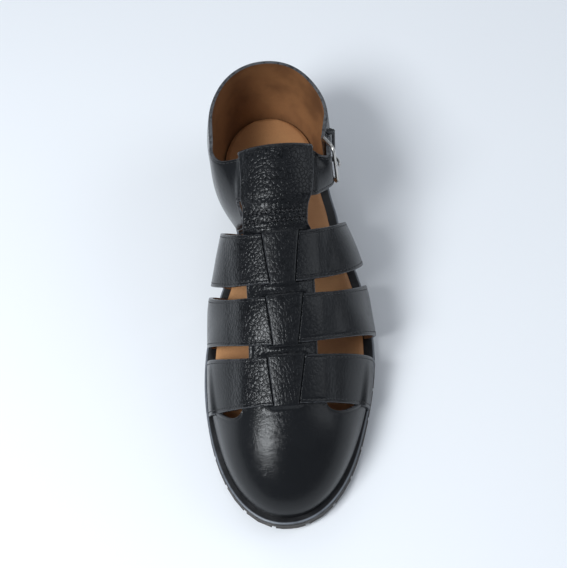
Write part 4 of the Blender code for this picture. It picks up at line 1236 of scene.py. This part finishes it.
def add_loop_stitches():
    """Two staggered rows of slanting stitches that hold the loop down, and dark capsules of painted shade for
    the holes at their ends.
    """
    runs, hole_shades = [], []
    for row, lean, skip in zip(STITCH_ROWS, (1, -1), (0.5, 0.25)):
        along = np.full(24, mix(STITCH_FRONT, STITCH_BACK, row))
        line, facing = [], []
        for side in (MEDIAL, LATERAL):
            distance = np.linspace(LOOP_HALF[side] - 0.002, 0.0, 24)
            turn = turn_at(along, LOOP_LEAN, side, distance)
            low, high = (over_last(along, LOOP_LEAN, side, turn, np.full(24, offset))
                         for offset in (LEATHER + LOOP_GAP, 2 * LEATHER + LOOP_GAP - 0.0003))
            line.append(high[::-side])
            facing.append(unit(high - low)[::-side])
        centres, tangents, normals = even_path(np.concatenate(line), np.concatenate(facing),
                                               LOOP_STITCH_PITCH, skip)
        slant = unit(tangents + np.cross(normals, tangents) * LOOP_STITCH_SLANT * lean)
        runs.append((centres, slant, normals))
        # Capsules of painted shade at both ends of each stitch, standing in for the holes.
        for end in (-1, 1):
            hole_shades.append((centres + slant * HOLE_REACH * end - normals * HOLE_SINK, tangents, normals))
    add_stitches("loop_stitches", "upper", runs, **LOOP_STITCH)
    add_stitches("loop_stitch_hole_shades", "upper", hole_shades, **LOOP_HOLE_SHADE, finish=HOLE_SHADE)


WELT_RINGS = (
    (0.0006, welt_low, 0, 0), (0.0001, welt_low, 0.0005, 0), (0.0000, welt_low, 0.0015, 0),
    (0.0003, welt_high, -0.0004, 1), (0.0008, welt_high, -0.0001, 1), (0.0014, welt_high, 0, 0),
    (0.0180, welt_high, 0, 0), (0.0180, welt_low, 0, 0),
)


def add_welt():
    """Welt with a rounded rim, lofted from rings of (inset, surface, height over it, mark of the painted
    highlight with rubbed wear on the rim).
    """
    rings, rub_and_highlight = [], []
    for inset, surface, offset, rub_highlight_flag in WELT_RINGS:
        alongs = end_spaced(inset, SOLE_LENGTH - inset, 90)
        round_trip = np.concatenate([alongs, alongs[-2:0:-1]])
        sides = np.where(np.arange(len(round_trip)) < len(alongs), MEDIAL, LATERAL)
        rings.append(place(outline_x(round_trip, sides, inset), round_trip, surface(round_trip) + offset))
        rub_and_highlight += [float(rub_highlight_flag)] * len(round_trip)
    faces = ring_faces(len(rings), len(rings[0]), True)
    mesh = finish_mesh("welt_rim", np.concatenate(rings), faces, [0] * len(faces), {"rub_and_highlight": rub_and_highlight},
                       WELT_SHARP)
    add_object("welt_rim", mesh, (WELT,), ("welt",))


def add_insole():
    """Insole with a soft rim."""
    alongs = end_spaced(INSOLE_INSET, SOLE_LENGTH - INSOLE_INSET, 70)
    width = 24
    shares = (1 - np.cos(np.linspace(0, math.pi, width + 1))) / 2
    medial = outline_x(alongs, MEDIAL, INSOLE_INSET)
    lateral = outline_x(alongs, LATERAL, INSOLE_INSET)
    x = mix(medial[:, None], lateral[:, None], shares)
    rim = np.minimum(x - medial[:, None], lateral[:, None] - x)
    rim = np.minimum(rim, np.minimum(alongs - alongs[0], alongs[-1] - alongs)[:, None])
    sink = 0.0012 * (1 - ease(rim / 0.0025))
    low = place(x, alongs[:, None], seat(alongs)[:, None])
    high = place(x, alongs[:, None], insole_high(alongs)[:, None] - sink)
    sheet("insole_leather", low, high, (TAN, TAN), ("insole",))


BAR_SIDES = 12
FRAME_CORNER = 0.0032


def tube(name, node, path, radii, closed, flat, outward):
    """A round metal bar along a path, a little flattened along the outward direction."""
    path = np.asarray(path)
    ahead = np.roll(path, -1, axis=0) - np.roll(path, 1, axis=0) if closed else np.gradient(path, axis=0)
    tangent = unit(ahead)
    across = unit(np.cross(tangent, np.tile(outward, (len(path), 1))))
    out = unit(np.cross(across, tangent))
    angles = np.linspace(0, 2 * math.pi, BAR_SIDES, endpoint=False)
    radii = np.broadcast_to(radii, (len(path),))
    rings = path[:, None] + radii[:, None, None] * (
        across[:, None] * np.cos(angles)[None, :, None] + out[:, None] * np.sin(angles)[None, :, None] * flat)
    faces = ring_faces(len(path), BAR_SIDES, closed)
    mesh = finish_mesh(name, rings.reshape(-1, 3), faces, [0] * len(faces), {}, METAL_SHARP)
    add_object(name, mesh, (METAL,), (node,))


def add_buckle():
    """Round-cornered frame and prong of the buckle."""
    centre, forward, up, outward, width = tab_frame(quarter_rows())
    half = width / 2 + FRAME_PLAY + FRAME_BAR / 2 - FRAME_CORNER
    over = 2 * (LEATHER + LOOP_GAP) + LOOP_GAP
    near, far = LOOP_GAP + FRAME_BAR / 2, FRAME_LENGTH - FRAME_BAR / 2
    path = []
    for bend, side, start in ((far - FRAME_CORNER, 1, 0), (near + FRAME_CORNER, 1, 90),
                              (near + FRAME_CORNER, -1, 180), (far - FRAME_CORNER, -1, 270)):
        for angle in np.radians(np.linspace(start, start + 90, 7)):
            ahead = bend + FRAME_CORNER * math.cos(angle)
            aside = side * half + FRAME_CORNER * math.sin(angle)
            height = LEATHER / 2 + over * (ahead - near) / (far - near)
            path.append(centre + forward * ahead + up * aside + outward * height)
    dense = []
    for a, b in zip(path, path[1:] + path[:1]):
        count = 6 if np.linalg.norm(b - a) > 0.004 else 1
        dense += [a + (b - a) * k / count for k in range(count)]
    tube("buckle_frame_bar", "buckle_frame", dense, FRAME_BAR / 2, True, 0.8, outward)
    marks = np.linspace(0, 1, 14)
    reach = PRONG_START + (FRAME_LENGTH + LOOP_GAP - PRONG_START) * marks
    height = mix(over, over + LEATHER + LOOP_GAP, ease(marks * 1.4)) + PRONG_WIDTH * 0.3
    prong = centre + forward * reach[:, None] + outward * height[:, None]
    radii = PRONG_WIDTH / 2 * np.where(marks > 0.85, mix(1.0, 0.55, (marks - 0.85) / 0.15), 1.0)
    tube("buckle_prong_pin", "buckle_prong", prong, radii, False, 0.6, outward)


KEEPER_STEP = 0.0012


def add_keeper():
    """A leather keeper across the strap's end, standing on the quarter at both its edges."""
    rows = quarter_rows()
    normals = grid_normals(rows)
    length = np.linalg.norm(rows[-1][-1] - rows[-1][0])
    foot = LEATHER + LOOP_GAP
    roof = 2 * foot + LOOP_GAP
    per_row = ARM_STEPS // 3
    first, last = KEEPER_ROWS[0] * per_row, KEEPER_ROWS[1] * per_row
    span = np.linspace(0, 1, 9)
    arch = np.sin(np.array([0.0, 0.35, 0.7]) * math.pi / 2)
    bulge = np.array([0.0, -0.0001, 0.0])

    def arched(top, sink):
        lift = foot + (top - foot) * arch
        return np.concatenate([lift, np.full(9, top - sink), lift[::-1]])

    low_rows, high_rows, cuts = [], [], []
    for n in range(first, last + 1):
        k = len(rows) - 1 - n
        margin = STRAP_MARGIN * min(n / per_row / 4, 1)
        low = margin - FRAME_PLAY
        high = margin + length + FRAME_PLAY
        inner = np.concatenate([np.full(3, low), mix(low, high, span), np.full(3, high)])
        low_rows.append(on_band(rows[k], normals[k], inner, arched(roof, 0.0)))
        low, high = low - KEEPER_LEATHER, high + KEEPER_LEATHER
        outer = np.concatenate([low + bulge, mix(low + 0.0005, high - 0.0005, span), high - bulge[::-1]])
        cuts.append(min(n - first, last - n) * KEEPER_STEP)
        sink = float(rounding(np.array(cuts[-1])))
        high_rows.append(on_band(rows[k], normals[k], outer, arched(roof + KEEPER_LEATHER, sink)))
    # Painted highlight with rubbed wear at the keeper's cut ends.
    rub_and_highlight = 0.7 * np.exp(-(np.array(cuts) / 0.0006) ** 2)[:, None]
    sheet("keeper_band", np.array(low_rows), np.array(high_rows), (BLACK, BLACK),
          ("keeper",), None, {"rub_and_highlight": rub_and_highlight, "grain": 0.4})


def dress_nodes():
    """Gives the sole's own pieces their finishes."""
    for name, finish in (("outsole", RUBBER), ("heel", RUBBER)):
        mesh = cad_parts[name].data
        mesh.materials.clear()
        mesh.materials.append(finish)


# Lights: name, place, size, power and colour; the world's colour and strength.
LIGHTS = (
    ("key", (-0.64, -0.50, 0.95), 0.46, 14.0, (0.93, 0.97, 1.0)),
    ("fill", (1.15, 0.10, 0.80), 0.9, 3.6, (0.90, 0.95, 1.0)),
    ("back", (-0.1, 1.1, 1.1), 0.8, 3.0, (0.93, 0.97, 1.0)),
)
LIGHT_AIM = (0, 0, 0.04)
ROOM_COLOUR = (0.80, 0.86, 0.95, 1)
ROOM_STRENGTH = 0.34
FLOOR_REACH = 3.0


def add_stage():
    """Pale floor and soft studio light."""
    mesh = bpy.data.meshes.new("floor")
    corners = [(x * FLOOR_REACH, y * FLOOR_REACH, 0) for x, y in ((-1, -1), (1, -1), (1, 1), (-1, 1))]
    mesh.from_pydata(corners, [], [(0, 1, 2, 3)])
    floor = bpy.data.objects.new("floor", mesh)
    bpy.context.scene.collection.objects.link(floor)
    made = Finish("pale_floor", Roughness=0.75, Specular_IOR_Level=0.25)
    cloud = made.noise(made.where, 3.0, 2.0)
    made.drive("Base Color", made.colours(cloud, (0.83, 0.85, 0.88, 1), (0.86, 0.875, 0.90, 1)))
    mesh.materials.append(made.material)
    for name, spot, size, power, colour in LIGHTS:
        data = bpy.data.lights.new(name, "AREA")
        data.size = size
        data.energy = power
        data.color = colour
        light = bpy.data.objects.new(name, data)
        bpy.context.scene.collection.objects.link(light)
        light.location = spot
        light.rotation_euler = (Vector(LIGHT_AIM) - Vector(spot)).to_track_quat("-Z", "Y").to_euler()
    world = bpy.data.worlds.new("soft_room")
    world.use_nodes = True
    sky = world.node_tree.nodes["Background"].inputs
    sky["Color"].default_value = ROOM_COLOUR
    sky["Strength"].default_value = ROOM_STRENGTH
    bpy.context.scene.world = world
    bpy.context.scene.view_settings.view_transform = "Standard"


def add_camera():
    """The photograph's viewpoint, turned and widened a little to take in the whole shoe."""
    data = bpy.data.cameras.new("camera")
    data.lens = CAMERA_LENS
    data.sensor_width = SENSOR_WIDTH
    camera = bpy.data.objects.new("camera", data)
    bpy.context.scene.collection.objects.link(camera)
    back = (Vector(CAMERA_PLACE) - Vector(CAMERA_AIM)).normalized()
    across = Vector(CAMERA_ACROSS)
    across = (across - back * across.dot(back)).normalized()
    up = back.cross(across)
    camera.matrix_world = Matrix.LocRotScale(Vector(CAMERA_PLACE), Matrix(
        (across, up, back)).transposed(), None)
    bpy.context.scene.camera = camera


add_vamp_and_strip()
for strap_index in range(len(STRAPS)):
    add_strap(strap_index)
add_loop_stitches()
add_quarter()
add_buckle()
add_keeper()
add_welt()
add_insole()
dress_nodes()
add_stage()
add_camera()
